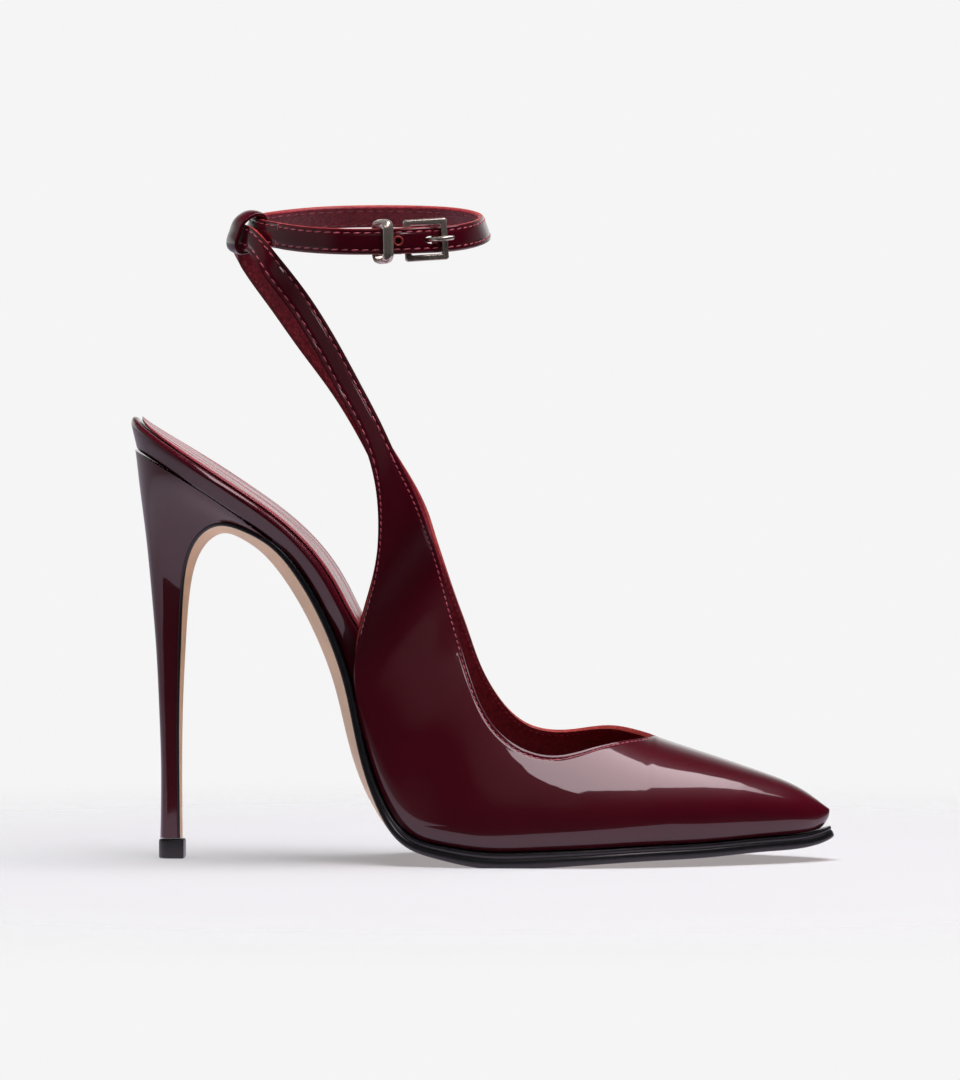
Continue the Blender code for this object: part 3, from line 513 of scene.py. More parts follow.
def lining_leather(colours):
    # Dyed goat lining with its natural pebble grain of about 1 mm, half matt, darker in the grain's valleys,
    # and with painted shade that darkens it towards the bottom of the vamp.
    made, tree, shader, place = new_material("red goat lining leather")
    # Painted shade: the lining's dye is darkened lower down, inside the vamp, by height alone
    level = add_node(tree, "ShaderNodeSeparateXYZ", None, {"Vector": place})
    depth = add_node(
        tree,
        "ShaderNodeMapRange",
        {"From Min": LINING_SHADE_HEIGHTS[0], "From Max": LINING_SHADE_HEIGHTS[1], "To Min": LINING_SHADE_DARKEST, "To Max": 1.0},
        {"Value": level.outputs["Z"]},
    )
    pebble = add_node(tree, "ShaderNodeTexVoronoi", {"Scale": per_metre(1.0)}, {"Vector": place})
    cloud = add_node(tree, "ShaderNodeTexNoise", {"Scale": per_metre(6), "Detail": 4.0}, {"Vector": place})
    tone = add_node(tree, "ShaderNodeValToRGB", None, {"Fac": pebble.outputs["Distance"]})
    set_stops(tone.color_ramp, ((0.0, shaded(colours.lining, 1.25)), (1.0, shaded(colours.lining, 0.55))))
    mixed = add_node(
        tree,
        "ShaderNodeMix",
        {"data_type": "RGBA", "blend_type": "MULTIPLY"},
        {"Factor": cloud.outputs["Fac"]},
    )
    tree.links.new(tone.outputs["Color"], mixed.inputs[6])
    mixed.inputs[7].default_value = (*LINING_STAIN, 1.0)
    bump = add_node(
        tree,
        "ShaderNodeBump",
        {"Strength": 0.6, "Distance": 0.00018, "invert": True},
        {"Height": pebble.outputs["Distance"]},
    )
    # The lining's colour scaled by that painted shade
    deep = add_node(
        tree,
        "ShaderNodeVectorMath",
        {"operation": "SCALE"},
        {"Vector": mixed.outputs[2], "Scale": depth.outputs["Result"]},
    )
    tree.links.new(deep.outputs["Vector"], shader.inputs["Base Color"])
    tree.links.new(bump.outputs["Normal"], shader.inputs["Normal"])
    set_shader(shader, {"Roughness": 0.45, "Specular IOR Level": 0.3})
    return made


def cut_edge(colours):
    # Raw edge of dyed leather, lightly burnished: fibrous, warm and matt, with darker spots of glue.
    made, tree, shader, place = new_material("burnished cut leather edge")
    fibre = add_node(tree, "ShaderNodeTexNoise", {"Scale": per_metre(0.8), "Detail": 3.0}, {"Vector": place})
    tone = add_node(tree, "ShaderNodeValToRGB", None, {"Fac": fibre.outputs["Fac"]})
    set_stops(tone.color_ramp, ((0.3, shaded(colours.cut_edge, 0.5)), (0.7, shaded(colours.cut_edge, 1.15))))
    bump = add_node(
        tree, "ShaderNodeBump", {"Strength": 0.5, "Distance": 0.0001}, {"Height": fibre.outputs["Fac"]}
    )
    tree.links.new(tone.outputs["Color"], shader.inputs["Base Color"])
    tree.links.new(bump.outputs["Normal"], shader.inputs["Normal"])
    set_shader(shader, {"Roughness": 0.45})
    return made


def edge_paint(colours):
    # Black acrylic edge paint on the sole: half gloss, a little uneven from the brush.
    made, tree, shader, place = new_material("black edge paint")
    brush = add_node(tree, "ShaderNodeTexNoise", {"Scale": per_metre(1.6), "Detail": 3.0}, {"Vector": place})
    tone = add_node(tree, "ShaderNodeValToRGB", None, {"Fac": brush.outputs["Fac"]})
    set_stops(tone.color_ramp, ((0.0, opaque("#08080a")), (1.0, opaque("#1a1a1e"))))
    bump = add_node(
        tree, "ShaderNodeBump", {"Strength": 0.35, "Distance": 0.00012}, {"Height": brush.outputs["Fac"]}
    )
    tree.links.new(tone.outputs["Color"], shader.inputs["Base Color"])
    tree.links.new(bump.outputs["Normal"], shader.inputs["Normal"])
    set_shader(shader, {"Roughness": 0.28})
    return made


def sole_leather(colours):
    # Buffed vegetable-tanned sole leather: satin, with cloudy tone and short fibres.
    made, tree, shader, place = new_material("tan sole leather")
    cloud = add_node(tree, "ShaderNodeTexNoise", {"Scale": per_metre(14), "Detail": 4.0}, {"Vector": place})
    tone = add_node(tree, "ShaderNodeValToRGB", None, {"Fac": cloud.outputs["Fac"]})
    set_stops(tone.color_ramp, ((0.25, shaded(colours.sole, 0.82)), (0.75, shaded(colours.sole, 1.06))))
    fibre = add_node(tree, "ShaderNodeTexNoise", {"Scale": per_metre(0.9), "Detail": 3.0}, {"Vector": place})
    bump = add_node(
        tree, "ShaderNodeBump", {"Strength": 0.2, "Distance": 0.00008}, {"Height": fibre.outputs["Fac"]}
    )
    tree.links.new(tone.outputs["Color"], shader.inputs["Base Color"])
    tree.links.new(bump.outputs["Normal"], shader.inputs["Normal"])
    set_shader(shader, {"Roughness": 0.48})
    return made


SOCK_STREAK = (0.06, 1.0, 0.06)  # draws the streaks out along the foot


def sock_leather(colours):
    # Polished kid leather of the sock: a light glaze over red dye, brushed along the foot, so that the bright
    # reflections on it run in soft streaks.
    made, tree, shader, place = new_material("polished red sock leather")
    drawn = add_node(tree, "ShaderNodeVectorMath", {"operation": "MULTIPLY"}, {0: place})
    drawn.inputs[1].default_value = SOCK_STREAK
    streak = add_node(
        tree,
        "ShaderNodeTexNoise",
        {"Scale": per_metre(3), "Detail": 3.0},
        {"Vector": drawn.outputs["Vector"]},
    )
    gloss = add_node(
        tree, "ShaderNodeMapRange", {"From Min": 0.35, "From Max": 0.65}, {"Value": streak.outputs["Fac"]}
    )
    cloud = add_node(tree, "ShaderNodeTexNoise", {"Scale": per_metre(11), "Detail": 3.0}, {"Vector": place})
    tone = add_node(tree, "ShaderNodeValToRGB", None, {"Fac": cloud.outputs["Fac"]})
    set_stops(tone.color_ramp, ((0.0, shaded(colours.sock, 0.8)), (1.0, shaded(colours.sock, 1.15))))
    grain = add_node(tree, "ShaderNodeTexNoise", {"Scale": per_metre(1.2), "Detail": 3.0}, {"Vector": place})
    bump = add_node(
        tree, "ShaderNodeBump", {"Strength": 0.2, "Distance": 0.00006}, {"Height": grain.outputs["Fac"]}
    )
    tree.links.new(tone.outputs["Color"], shader.inputs["Base Color"])
    tree.links.new(bump.outputs["Normal"], shader.inputs["Normal"])
    tree.links.new(gloss.outputs["Result"], shader.inputs["Coat Weight"])
    set_shader(shader, {"Roughness": 0.45, "Specular IOR Level": 0.25, "Coat Roughness": 0.14})
    return made


def plated_metal(colours):
    # Antique nickel plating on cast zinc: a soft mirror under a thin skin of oxide, with polishing marks.
    made, tree, shader, place = new_material("antique nickel plating")
    marks = add_node(tree, "ShaderNodeTexNoise", {"Scale": per_metre(1.5), "Detail": 5.0}, {"Vector": place})
    tone = add_node(tree, "ShaderNodeValToRGB", None, {"Fac": marks.outputs["Fac"]})
    set_stops(tone.color_ramp, ((0.0, shaded(colours.metal, 0.75)), (1.0, shaded(colours.metal, 1.1))))
    rough = add_node(
        tree,
        "ShaderNodeMapRange",
        {"To Min": 0.12, "To Max": 0.26},
        {"Value": marks.outputs["Fac"]},
    )
    tree.links.new(tone.outputs["Color"], shader.inputs["Base Color"])
    tree.links.new(rough.outputs["Result"], shader.inputs["Roughness"])
    set_shader(shader, {"Metallic": 0.8})
    return made


def hard_plastic(colours):
    # Moulded black polyurethane of the top piece: matt, with small scuffs.
    made, tree, shader, place = new_material("black moulded polyurethane")
    scuff = add_node(tree, "ShaderNodeTexNoise", {"Scale": per_metre(1.4), "Detail": 4.0}, {"Vector": place})
    tone = add_node(tree, "ShaderNodeValToRGB", None, {"Fac": scuff.outputs["Fac"]})
    set_stops(tone.color_ramp, ((0.0, opaque("#09090b")), (1.0, opaque("#18181c"))))
    bump = add_node(
        tree, "ShaderNodeBump", {"Strength": 0.25, "Distance": 0.0001}, {"Height": scuff.outputs["Fac"]}
    )
    tree.links.new(tone.outputs["Color"], shader.inputs["Base Color"])
    tree.links.new(bump.outputs["Normal"], shader.inputs["Normal"])
    set_shader(shader, {"Roughness": 0.42})
    return made


def sewing_thread(colours):
    # Bonded polyester thread: two twisted plies, half matt; the twist is drawn at 0.5 mm to show.
    made, tree, shader, place = new_material("twisted polyester thread")
    twist = add_node(
        tree,
        "ShaderNodeTexWave",
        {"Scale": per_metre(0.5) / 20, "bands_direction": "DIAGONAL"},
        {"Vector": place},
    )
    tone = add_node(tree, "ShaderNodeValToRGB", None, {"Fac": twist.outputs["Fac"]})
    set_stops(tone.color_ramp, ((0.0, shaded(colours.thread, 0.7)), (1.0, shaded(colours.thread, 1.1))))
    tree.links.new(tone.outputs["Color"], shader.inputs["Base Color"])
    set_shader(shader, {"Roughness": 0.4, "Specular IOR Level": 0.45})
    return made


FINISHES = {
    "patent": patent_leather,
    "lining": lining_leather,
    "cut_edge": cut_edge,
    "edge_paint": edge_paint,
    "sole": sole_leather,
    "sock": sock_leather,
    "metal": plated_metal,
    "plastic": hard_plastic,
    "thread": sewing_thread,
}
made_finishes = {}


def finish(name):
    if name not in made_finishes:
        made_finishes[name] = FINISHES[name](bpy.context.scene.stiletto_colours)
    return made_finishes[name]


# The last: edges of sole and footbed


class Board:
    """The two edges of the sole or footbed, from the toe tip back, with a frame at each sample."""

    def __init__(self, rows, round_back):
        """rows: x, z, outer, inner and further columns."""
        self.rows = np.array(rows, float)
        x, z, outer, inner = self.rows[:, :4].T
        outside = np.stack([x, -outer, z], 1)
        inside = np.stack([x, inner, z], 1)
        self.knots = (lengths_along(outside) + lengths_along(inside)) / 2
        # Each edge runs on into the other one through the toe tip, and through the back where that is round.
        knots = np.concatenate([-self.knots[:0:-1], self.knots])
        line = np.concatenate([inside[:0:-1], outside])
        if round_back:
            beyond = 2 * self.knots[-1] - self.knots[-4:-1][::-1]
            knots = np.concatenate([-beyond[::-1], knots, beyond])
            line = np.concatenate([outside[-4:-1], line, inside[-4:-1][::-1]])
        self.line_knots, self.line = knots, line

    def edges(self, along):
        outside = smooth(self.line_knots, self.line, along)
        inside = smooth(self.line_knots, self.line, -np.asarray(along))
        middle = (outside + inside) / 2
        forward = unit(np.gradient(middle[:, [0, 2]], axis=0))
        up = np.stack([forward[:, 1], np.zeros(len(forward)), -forward[:, 0]], 1)
        inward = []
        for line, other in ((outside, inside), (inside, outside)):
            across = unit(np.cross(up, np.gradient(line, axis=0)))
            inward.append(across * np.sign(np.sum(across * (other - line))))
        return outside, inside, up, inward

    def column(self, index, along):
        return smooth(self.knots, self.rows[:, index : index + 1], along)[:, 0]


def sole_board():
    rows = [(s.x, s.z, s.outer, s.inner, s.edge, s.crown) for s in FOREPART]
    rows += [(s.x, s.z, s.outer, s.inner, s.edge, s.crown) for s in SHANK]
    rows += [(h.breast_x, h.breast_z, h.half, h.half, h.edge, h.crown) for h in HEEL]
    return Board(rows, round_back=False)


def seat_point(share):
    """A point of the heel seat, in side view, from its front to its back."""
    front = np.array([HEEL[0].breast_x, HEEL[0].breast_z])
    back = np.array([HEEL[0].back_x, HEEL[0].back_z])
    run = back - front
    rise = np.array([run[1], -run[0]]) / np.linalg.norm(run)
    share = np.asarray(share, float)[..., None]
    return front + share * run + 4 * share * (1 - share) * SEAT_BULGE * rise


def bed_board():
    rows = [(s.x, s.z, s.outer, s.inner, s.bed, 0.0) for s in FOREPART]
    rows += [(s.x, s.z, s.outer, s.inner, s.bed, 0.0) for s in SHANK]
    for s in SEAT:
        x, z = seat_point(s.share)
        rows.append((x, z, s.outer, s.inner, s.bed, s.upright))
    return Board(rows, round_back=True)


SEAT_KNOT = len(FOREPART) + len(SHANK)

# Sole

# Profile of the sole edge from the top down: how far it stands out on the forepart, where it has a bead over
# a groove, and on the thin shank, and the share of its height.
Edge = namedtuple("Edge", "bead plain down")
EDGE_PROFILE = (
    Edge(-0.2, -0.15, 0.0),
    Edge(0.04, -0.04, 0.03),
    Edge(0.14, 0.0, 0.09),
    Edge(0.16, 0.03, 0.16),
    Edge(0.1, 0.05, 0.23),
    Edge(-0.06, 0.06, 0.28),
    Edge(-0.22, 0.06, 0.32),
    Edge(-0.22, 0.06, 0.35),
    Edge(-0.05, 0.06, 0.4),
    Edge(0.06, 0.06, 0.47),
    Edge(0.12, 0.05, 0.6),
    Edge(0.12, 0.02, 0.75),
    Edge(0.04, -0.05, 0.88),
    Edge(-0.14, -0.16, 0.96),
    Edge(-0.42, -0.36, 1.0),
)
GROOVE_FULL, GROOVE_NONE = 3.2, 2.2  # edge heights where the groove is full and where it has run out
BOTTOM_POINTS = 15


def build_outsole():
    board = sole_board()
    seat_front = board.knots[SEAT_KNOT]
    before_seat = np.linspace(0.5, seat_front, SOLE_SECTIONS, endpoint=False)
    on_heel = np.linspace(seat_front, board.knots[-1], HEEL_SECTIONS)
    along = np.concatenate([before_seat, on_heel])
    outside, inside, up, (out_in, in_in) = board.edges(along)
    edge, crown = board.column(4, along), board.column(5, along)
    groove = blend(edge, GROOVE_NONE, GROOVE_FULL)
    rows = np.array(EDGE_PROFILE)
    out = rows[:, 1] + groove[:, None] * (rows[:, 0] - rows[:, 1])
    sides = []
    for line, inward in ((outside, out_in), (inside, in_in)):
        drop = (edge[:, None] * rows[:, 2])[:, :, None] * up[:, None, :]
        sides.append(line[:, None, :] - inward[:, None, :] * out[:, :, None] - drop)
    share = (np.arange(BOTTOM_POINTS) + 1) / (BOTTOM_POINTS + 1)
    start, end = sides[0][:, -1:], sides[1][:, -1:]
    sag = crown[:, None] * 4 * share * (1 - share)
    bottom = start + (end - start) * share[:, None] - sag[:, :, None] * up[:, None, :]
    sections = np.concatenate([sides[0], bottom, sides[1][:, ::-1]], axis=1)
    sections[:, :, 2] = np.maximum(sections[:, :, 2], 0.0)
    painted = len(rows) - 1
    numbers = [0] * painted + [1] * (BOTTOM_POINTS + 1) + [0] * painted + [0]
    made = lofted("leather_outsole", sections, [finish("edge_paint"), finish("sole")], numbers)
    carried(made, "sole_leather", "outsole")


# Heel

HEEL_SIDE_POINTS = 9
HEEL_BACK_POINTS = 22
WEDGE_START = 0.4  # where the heel's thin front edge starts behind the seat's front
BREAST_SEAM = 0.03  # clearance of the heel to the sole on its breast
SEAT_STEPS = 200
SEAT_FADE = 6  # power by which the seat's bulge dies away down the heel


def heel_sections():
    """Loops from the breast round the back of each section, from the seat to the tip."""
    board = sole_board()
    along = np.linspace(board.knots[SEAT_KNOT] + WEDGE_START, board.knots[-1], HEEL_SECTIONS)
    _, _, up, _ = board.edges(along)
    values = smooth(board.knots[SEAT_KNOT:], np.array(HEEL), along)
    fronts = values[:, :2] + up[:, [0, 2]] * BREAST_SEAM
    backs = values[:, 2:4]
    turn = np.linspace(0, math.pi / 2, HEEL_BACK_POINTS + 1)[1:]
    side = np.linspace(0, HEEL_FLAT, HEEL_SIDE_POINTS)
    shares = np.concatenate([side, HEEL_FLAT + (1 - HEEL_FLAT) * np.sin(turn)])
    widths = np.concatenate([np.ones(HEEL_SIDE_POINTS), np.cos(turn)])
    whole = seat_point(np.linspace(0, 1, SEAT_STEPS + 1))
    start_share = np.argmin(np.abs(whole[:, 0] - fronts[0, 0])) / SEAT_STEPS
    rise = unit(np.array([HEEL[0].back_z - HEEL[0].breast_z, HEEL[0].breast_x - HEEL[0].back_x]))
    top = seat_point(start_share + shares * (1 - start_share)) - rise * SEAT_SEAM
    top[0] = fronts[0]
    bulge = top - (fronts[0] + shares[:, None] * (backs[0] - fronts[0]))
    near_seat = (1 - np.linspace(0, 1, HEEL_SECTIONS)) ** SEAT_FADE
    sections = []
    for k in range(HEEL_SECTIONS):
        side_view = fronts[k] + shares[:, None] * (backs[k] - fronts[k]) + bulge * near_seat[k]
        outer = np.stack([side_view[:, 0], -values[k, 4] * widths, side_view[:, 1]], 1)
        inner = outer * (1, -1, 1)
        sections.append(np.concatenate([outer, inner[-2::-1]]))
    return np.array(sections)


def build_heel():
    sections = heel_sections()
    count, around = sections.shape[:2]
    half = around // 2
    faces = []
    for i in range(count - 1):
        for j in range(around):
            k = (j + 1) % around
            faces.append((i * around + j, i * around + k, (i + 1) * around + k, (i + 1) * around + j))
    for first in (0, (count - 1) * around):
        for j in range(half - 1):
            far = around - 1 - j
            faces.append((first + j, first + j + 1, first + far - 1, first + far))
        faces.append((first + half - 1, first + half, first + half + 1))
    made = add_piece("covered_heel", sections, faces, [finish("patent")], flat_angle=45.0)
    face_outwards(made)
    carried(made, "patent", "heel")
    return sections[-1]


# Profile of the top piece from the floor up: share of its outline and height
TOP_PIECE_PROFILE = (
    (0.9, 0.0),
    (0.97, 0.12),
    (1.0, 0.45),
    (1.0, TOP_PIECE_HEIGHT - 0.7),
    (0.99, TOP_PIECE_HEIGHT - 0.4),
    (0.95, TOP_PIECE_HEIGHT - 0.12),
    (0.9, TOP_PIECE_HEIGHT),
)


def build_top_piece(tip_section):
    """The wear pad: the outline of the heel tip, a little larger, down to the floor."""
    front_edge = HEEL[-1].breast_x + SEAM + HEEL[-1].edge + HEEL[-1].crown
    tip = tip_section.copy()
    back, front = tip[:, 0].min(), tip[:, 0].max()
    tip[:, 0] = back + (tip[:, 0] - back) * (front_edge - back) / (front - back)
    middle = (tip.max(axis=0) + tip.min(axis=0)) / 2
    reach = np.abs(tip - middle).max(axis=0)
    wide = middle + (tip - middle) * (1 + TOP_PIECE_GROW / np.maximum(reach, 1.0))
    sections = []
    for scale, height in TOP_PIECE_PROFILE:
        loop = middle + (wide - middle) * scale
        loop[:, 2] = height
        sections.append(loop)
    made = lofted("heel_top_piece", sections, [finish("plastic")], [0] * len(tip), flat_angle=50.0)
    carried(made, "top_piece", "top_piece")


# Footbed and sock

BED_SHAVE = 1.3  # how much thinner the board is where it shows, up to its back end
BACK_SHIFT = 1.1  # how far its wall comes out round the back, where it stands flush on the heel
BED_START = 6.0  # distance of its first section from the toe tip
SOCK_START = 14.0
BACK_END = 0.1  # distance of the last section of both from the back


def footbed_edges(board, along, extra_inset):
    """Edges of the footbed's underside, the ways inwards, wall direction, thickness and how far it shows."""
    outside, inside, up, (out_in, in_in) = board.edges(along)
    hidden_to = board.knots[REAR_CORNER] + WING_HIDES
    exposed = blend(along, hidden_to, board.knots[REAR_CORNER + 1] + WING_HIDES)
    inset = BED_INSET + (SEAT_INSET - BED_INSET) * exposed + extra_inset
    upright = np.clip(board.column(5, along), 0, 1)[:, None]
    wall = unit(up * (1 - upright) + np.array([0.0, 0.0, 1.0]) * upright)
    across = unit(inside - outside)
    edges = []
    for line, inward, direction in ((outside, out_in, across), (inside, in_in, -across)):
        slant = np.maximum(np.sum(inward * direction, axis=1), STEEPEST_SLANT)
        sideways = direction * (inset / slant)[:, None]
        offset = sideways + exposed[:, None] * (inward * inset[:, None] - sideways)
        edges.append(line + offset + up * SEAM)
    shaved = exposed * (1 - blend(along, board.knots[-3], board.knots[-1]))
    return edges, (out_in, in_in), wall, board.column(4, along) - BED_SHAVE * shaved, exposed


def bed_samples(board, start):
    """Distances of the sections along the board, closer together round the back."""
    seat_front = board.knots[SEAT_KNOT]
    before_seat = np.linspace(start, seat_front, SOLE_SECTIONS, endpoint=False)
    spread = np.sin(np.linspace(0, math.pi / 2, SEAT_SECTIONS))
    on_seat = seat_front + (board.knots[-1] - BACK_END - seat_front) * spread
    return np.concatenate([before_seat, on_seat])


# Section of the wrapped board: inset of a point from its edge where it shows, inset where the upper hides it,
# and share of its height. The wall leans out towards a rounded top edge.
BED_PROFILE = (
    (1.3, 0.6, 0.0),
    (0.95, 0.3, 0.05),
    (0.75, 0.1, 0.13),
    (0.28, 0.0, 0.3),
    (-0.27, 0.0, 0.5),
    (-0.68, 0.0, 0.66),
    (-0.82, 0.05, 0.75),
    (-0.72, 0.15, 0.84),
    (-0.4, 0.4, 0.92),
    (0.12, 0.8, 0.97),
    (0.8, 1.2, 0.995),
    (1.6, 1.6, 1.0),
)


def build_footbed():
    board = bed_board()
    along = bed_samples(board, BED_START)
    edges, inwards, wall, thick, exposed = footbed_edges(board, along, 0.0)
    rows = np.array(BED_PROFILE)
    inset = rows[:, 1] + exposed[:, None] * (rows[:, 0] - rows[:, 1])
    inset -= BACK_SHIFT * blend(along, board.knots[-4], board.knots[-2])[:, None]
    rise = (thick[:, None] * rows[:, 2])[:, :, None] * wall[:, None, :]
    sides = []
    for edge, inward in zip(edges, inwards):
        sides.append(edge[:, None, :] + inward[:, None, :] * inset[:, :, None] + rise)
    sections = np.concatenate([sides[0][:, ::-1], sides[1]], axis=1)
    made = lofted("wrapped_footbed", sections, [finish("patent")], [0] * sections.shape[1])
    carried(made, "patent", "footbed")


SOCK_POINTS = 25
SOCK_EDGE = 0.75
SOCK_DOME = -0.3  # the seat is slightly dished
SOCK_ROUND = 0.05  # share of the width over which the sock's edge is rounded
SOCK_THINNEST = 0.35  # share of the sock's thickness at its very edge
DISH_KNOTS = (10, 15)  # the stations between which the dish starts and is full


def build_sock():
    board = bed_board()
    along = bed_samples(board, SOCK_START)
    (outer, inner), _, wall, thick, _ = footbed_edges(board, along, SOCK_MARGIN)
    dome = SOCK_DOME * blend(along, *board.knots[list(DISH_KNOTS)])
    share = (1 - np.cos(np.linspace(0, math.pi, SOCK_POINTS))) / 2
    from_edge = np.minimum(share, 1 - share) / SOCK_ROUND
    rounding = np.sqrt(1 - np.clip(1 - from_edge, 0, 1) ** 2)
    edge = SOCK_EDGE * (SOCK_THINNEST + (1 - SOCK_THINNEST) * rounding)
    flat = outer[:, None, :] + (inner - outer)[:, None, :] * share[:, None]
    lower = flat + (wall * (thick + SEAM)[:, None])[:, None, :]
    height = edge + dome[:, None] * 4 * share * (1 - share)
    upper = lower + wall[:, None, :] * height[:, :, None]
    sections = np.concatenate([lower, upper[:, ::-1]], axis=1)
    made = lofted("leather_sock", sections, [finish("sock")], [0] * sections.shape[1])
    carried(made, "sock", "insole")


# Upper: vamp, wings and side straps

UPRIGHT = 7.0  # height over the sole up to which the upper widens
UPRIGHT_MOST = 0.35  # share of a rib that this may take
TUCK = 1.4  # how far the upper draws in at its base
TUCK_MOST = 0.3  # share of a rib's half width that the tuck may take
NOSE = 1.0  # how far the toe tip is rounded forwards
NOSE_FROM = 97.0  # where that starts
STITCH_GROOVE = 0.14  # depth of the groove that a stitch row presses into the leather
GROOVE_REACH = 0.65  # half its width
WRAP = 4  # ribs repeated past each end of the ring, so that its curve closes smoothly
KNOT_LEVEL = 0.25  # share of a rib's height at which the way round the upper is measured
TOE_SPREAD = 1.5  # power that sets the ribs closer together towards the toe tip
STRAP_TRIM = 0.24  # a rib cut shorter than this share belongs to a side strap
PAST_CORNER = 2.0  # how far the rear rows run on past the corner where the upper leaves the sole
RIB_STEPS = 160
RIB_SPREAD = 1.15  # power that sets a rib's steps closer together near its base
# Points near an edge of the upper, by distance from it in stitch insets
EDGE_STOPS = (0.0, 0.42, 0.68, 0.85, 1.0, 1.15, 1.32, 1.6, 2.0)
OUTER_SIDE = -5.0  # a rib whose base lies further out than this is on the outer side
CUT_EDGE_ROUND = 0.3


def upper_ribs(board):
    """Rows of the closed ring of ribs, from the toe tip by the outer side: base, crest and trim."""
    stations = board.knots[: REAR_CORNER + 1]
    outside, inside, up, (out_in, in_in) = board.edges(stations)
    lift = UPPER_LIFT + REAR_LIFT * blend(stations, stations[REAR_CORNER - 3], stations[REAR_CORNER])
    lines = []
    for side, line, inward in ((-1, outside, out_in), (1, inside, in_in)):
        base = line + inward * WELT + up * lift[:, None]
        rows = []
        for k, s in enumerate(FOREPART):
            trim = s.trim_outer if side < 0 else s.trim_inner
            rows.append((*base[k], s.crest_x, s.mid, s.crest_z, trim))
        for rib in OUTER_WING if side < 0 else INNER_WING:
            rows.append((rib.x, side * rib.half, rib.z, rib.crest_x, 0.0, rib.crest_z, rib.trim))
        lines.append(rows)
    back = BACK_RIB
    back_row = (back.x, back.half, back.z, back.crest_x, 0.0, back.crest_z, back.trim)
    tip = lines[0][0]
    tip = (tip[0] - WELT, FOREPART[0].mid, *tip[2:])
    ring = np.array([tip] + lines[0][1:] + [back_row] + lines[1][:0:-1])
    return ring, len(lines[0])


class UpperShape:
    """The outer face of the upper as a closed ring of ribs, with what holds for the edges of each rib."""

    def __init__(self, inset):
        """inset: distance of the stitch rows from the cut edges."""
        board = bed_board()
        ring, back_at = upper_ribs(board)
        closed = np.concatenate([ring, ring[:1]])
        part_way = closed[:, :3] + (closed[:, 3:6] - closed[:, :3]) * KNOT_LEVEL
        knots = lengths_along(part_way)
        wrapped = np.concatenate([ring[-WRAP:], closed, ring[1 : WRAP + 1]])
        total = knots[-1]
        long_knots = np.concatenate([knots[-1 - WRAP : -1] - total, knots, knots[1 : WRAP + 1] + total])
        inner_throat = len(ring) - THROAT
        front, rest = RIBS_TO_THROAT, RIBS_TO_BACK
        stops = (
            np.linspace(0, 1, front + 1)[:-1] ** TOE_SPREAD * knots[THROAT],
            np.linspace(knots[THROAT], knots[back_at], rest, endpoint=False),
            np.linspace(knots[back_at], knots[inner_throat], rest, endpoint=False),
            total - np.linspace(1, 0, front + 1)[:-1] ** TOE_SPREAD * (total - knots[inner_throat]),
        )
        wanted = np.concatenate(stops)
        values = smooth(long_knots, wrapped[:, :6], wanted)
        for i in range(1, front + 1):
            values[[i, -i], 3:] = (values[i, 3:] + values[-i, 3:]) / 2
        topline = slice(THROAT, inner_throat + 1)
        trims = np.ones(len(wanted))
        behind = (wanted > knots[THROAT]) & (wanted < knots[inner_throat])
        trims[behind] = smooth(knots[topline], ring[topline, 6:7], wanted[behind])[:, 0]
        from_back = np.abs(wanted - knots[back_at])
        leaves_sole, on_sole_from = knots[back_at] - knots[[REAR_CORNER + 1, REAR_CORNER - 3]]
        self.on_sole = blend(from_back, leaves_sole, on_sole_from)
        self.is_strap = np.clip(trims, 0, 1) < STRAP_TRIM
        self.behind_throat = behind
        self.off_sole = from_back < leaves_sole + PAST_CORNER
        self.inset = inset
        self.grid, self.from_start, self.from_end = self.sampled(values, np.clip(trims, 0.0, 1.0))
        self.normals = self.outward()
        self.groove()

    def sampled(self, values, trims):
        """Points along each rib, close together near its two edges, with their distances from those."""
        near = np.array(EDGE_STOPS) * self.inset
        grid, starts, ends = [], [], []
        for value, trim, tucked in zip(values, trims, self.on_sole):
            base, crest = value[:3], value[3:]
            half = base[1] - crest[1]
            height = np.array([crest[0] - base[0], 0.0, crest[2] - base[2]])
            turn = math.asin(trim) * np.linspace(0, 1, RIB_STEPS) ** RIB_SPREAD
            rise = np.sin(turn)
            upright = tucked * min(UPRIGHT / np.linalg.norm(height), UPRIGHT_MOST)
            lifted = np.clip((rise - upright) / (1 - upright), 0, 1)
            draw_in = tucked * min(TUCK, TUCK_MOST * abs(half))
            draw_in = draw_in * np.clip(1 - rise / max(upright, 1e-6), 0, 1) ** 2
            rib = np.array([base[0], crest[1], base[2]]) + rise[:, None] * height
            rib[:, 1] += half * np.sqrt(1 - lifted**2) - np.sign(half) * draw_in
            rib[:, 0] += NOSE * blend(base[0], NOSE_FROM, FOREPART[0].x) * 4 * rise * (1 - rise)
            at = lengths_along(rib)
            close = near * min(1.0, at[-1] / (5 * near[-1] / 2))
            between = np.linspace(close[-1], at[-1] - close[-1], RIB_MIDDLE_POINTS + 2)[1:-1]
            stops = np.concatenate([close, between, at[-1] - close[::-1]])
            grid.append(np.stack([np.interp(stops, at, rib[:, k]) for k in range(3)], 1))
            starts.append(stops)
            ends.append(at[-1] - stops)
        return np.array(grid), np.array(starts), np.array(ends)

    def outward(self):
        """Unit normals of the outer face."""
        looped = np.concatenate([self.grid[-1:], self.grid, self.grid[:1]])
        along = (looped[2:] - looped[:-2]) / 2
        across = np.gradient(self.grid, axis=1)
        normals = unit(np.cross(along, across))
        outer_side = self.grid[:, 0, 1] < OUTER_SIDE
        facing = np.sign(np.mean(normals[outer_side][:, :, 1]))
        return -normals * facing

    def groove(self):
        """Presses the stitch rows into the leather."""
        rows = STITCH_GROOVE * bump_at(self.from_end, self.inset, GROOVE_REACH) * self.behind_throat[:, None]
        rows += STITCH_GROOVE * bump_at(self.from_start, self.inset, GROOVE_REACH) * self.off_sole[:, None]
        self.grid = self.grid - self.normals * rows[:, :, None]


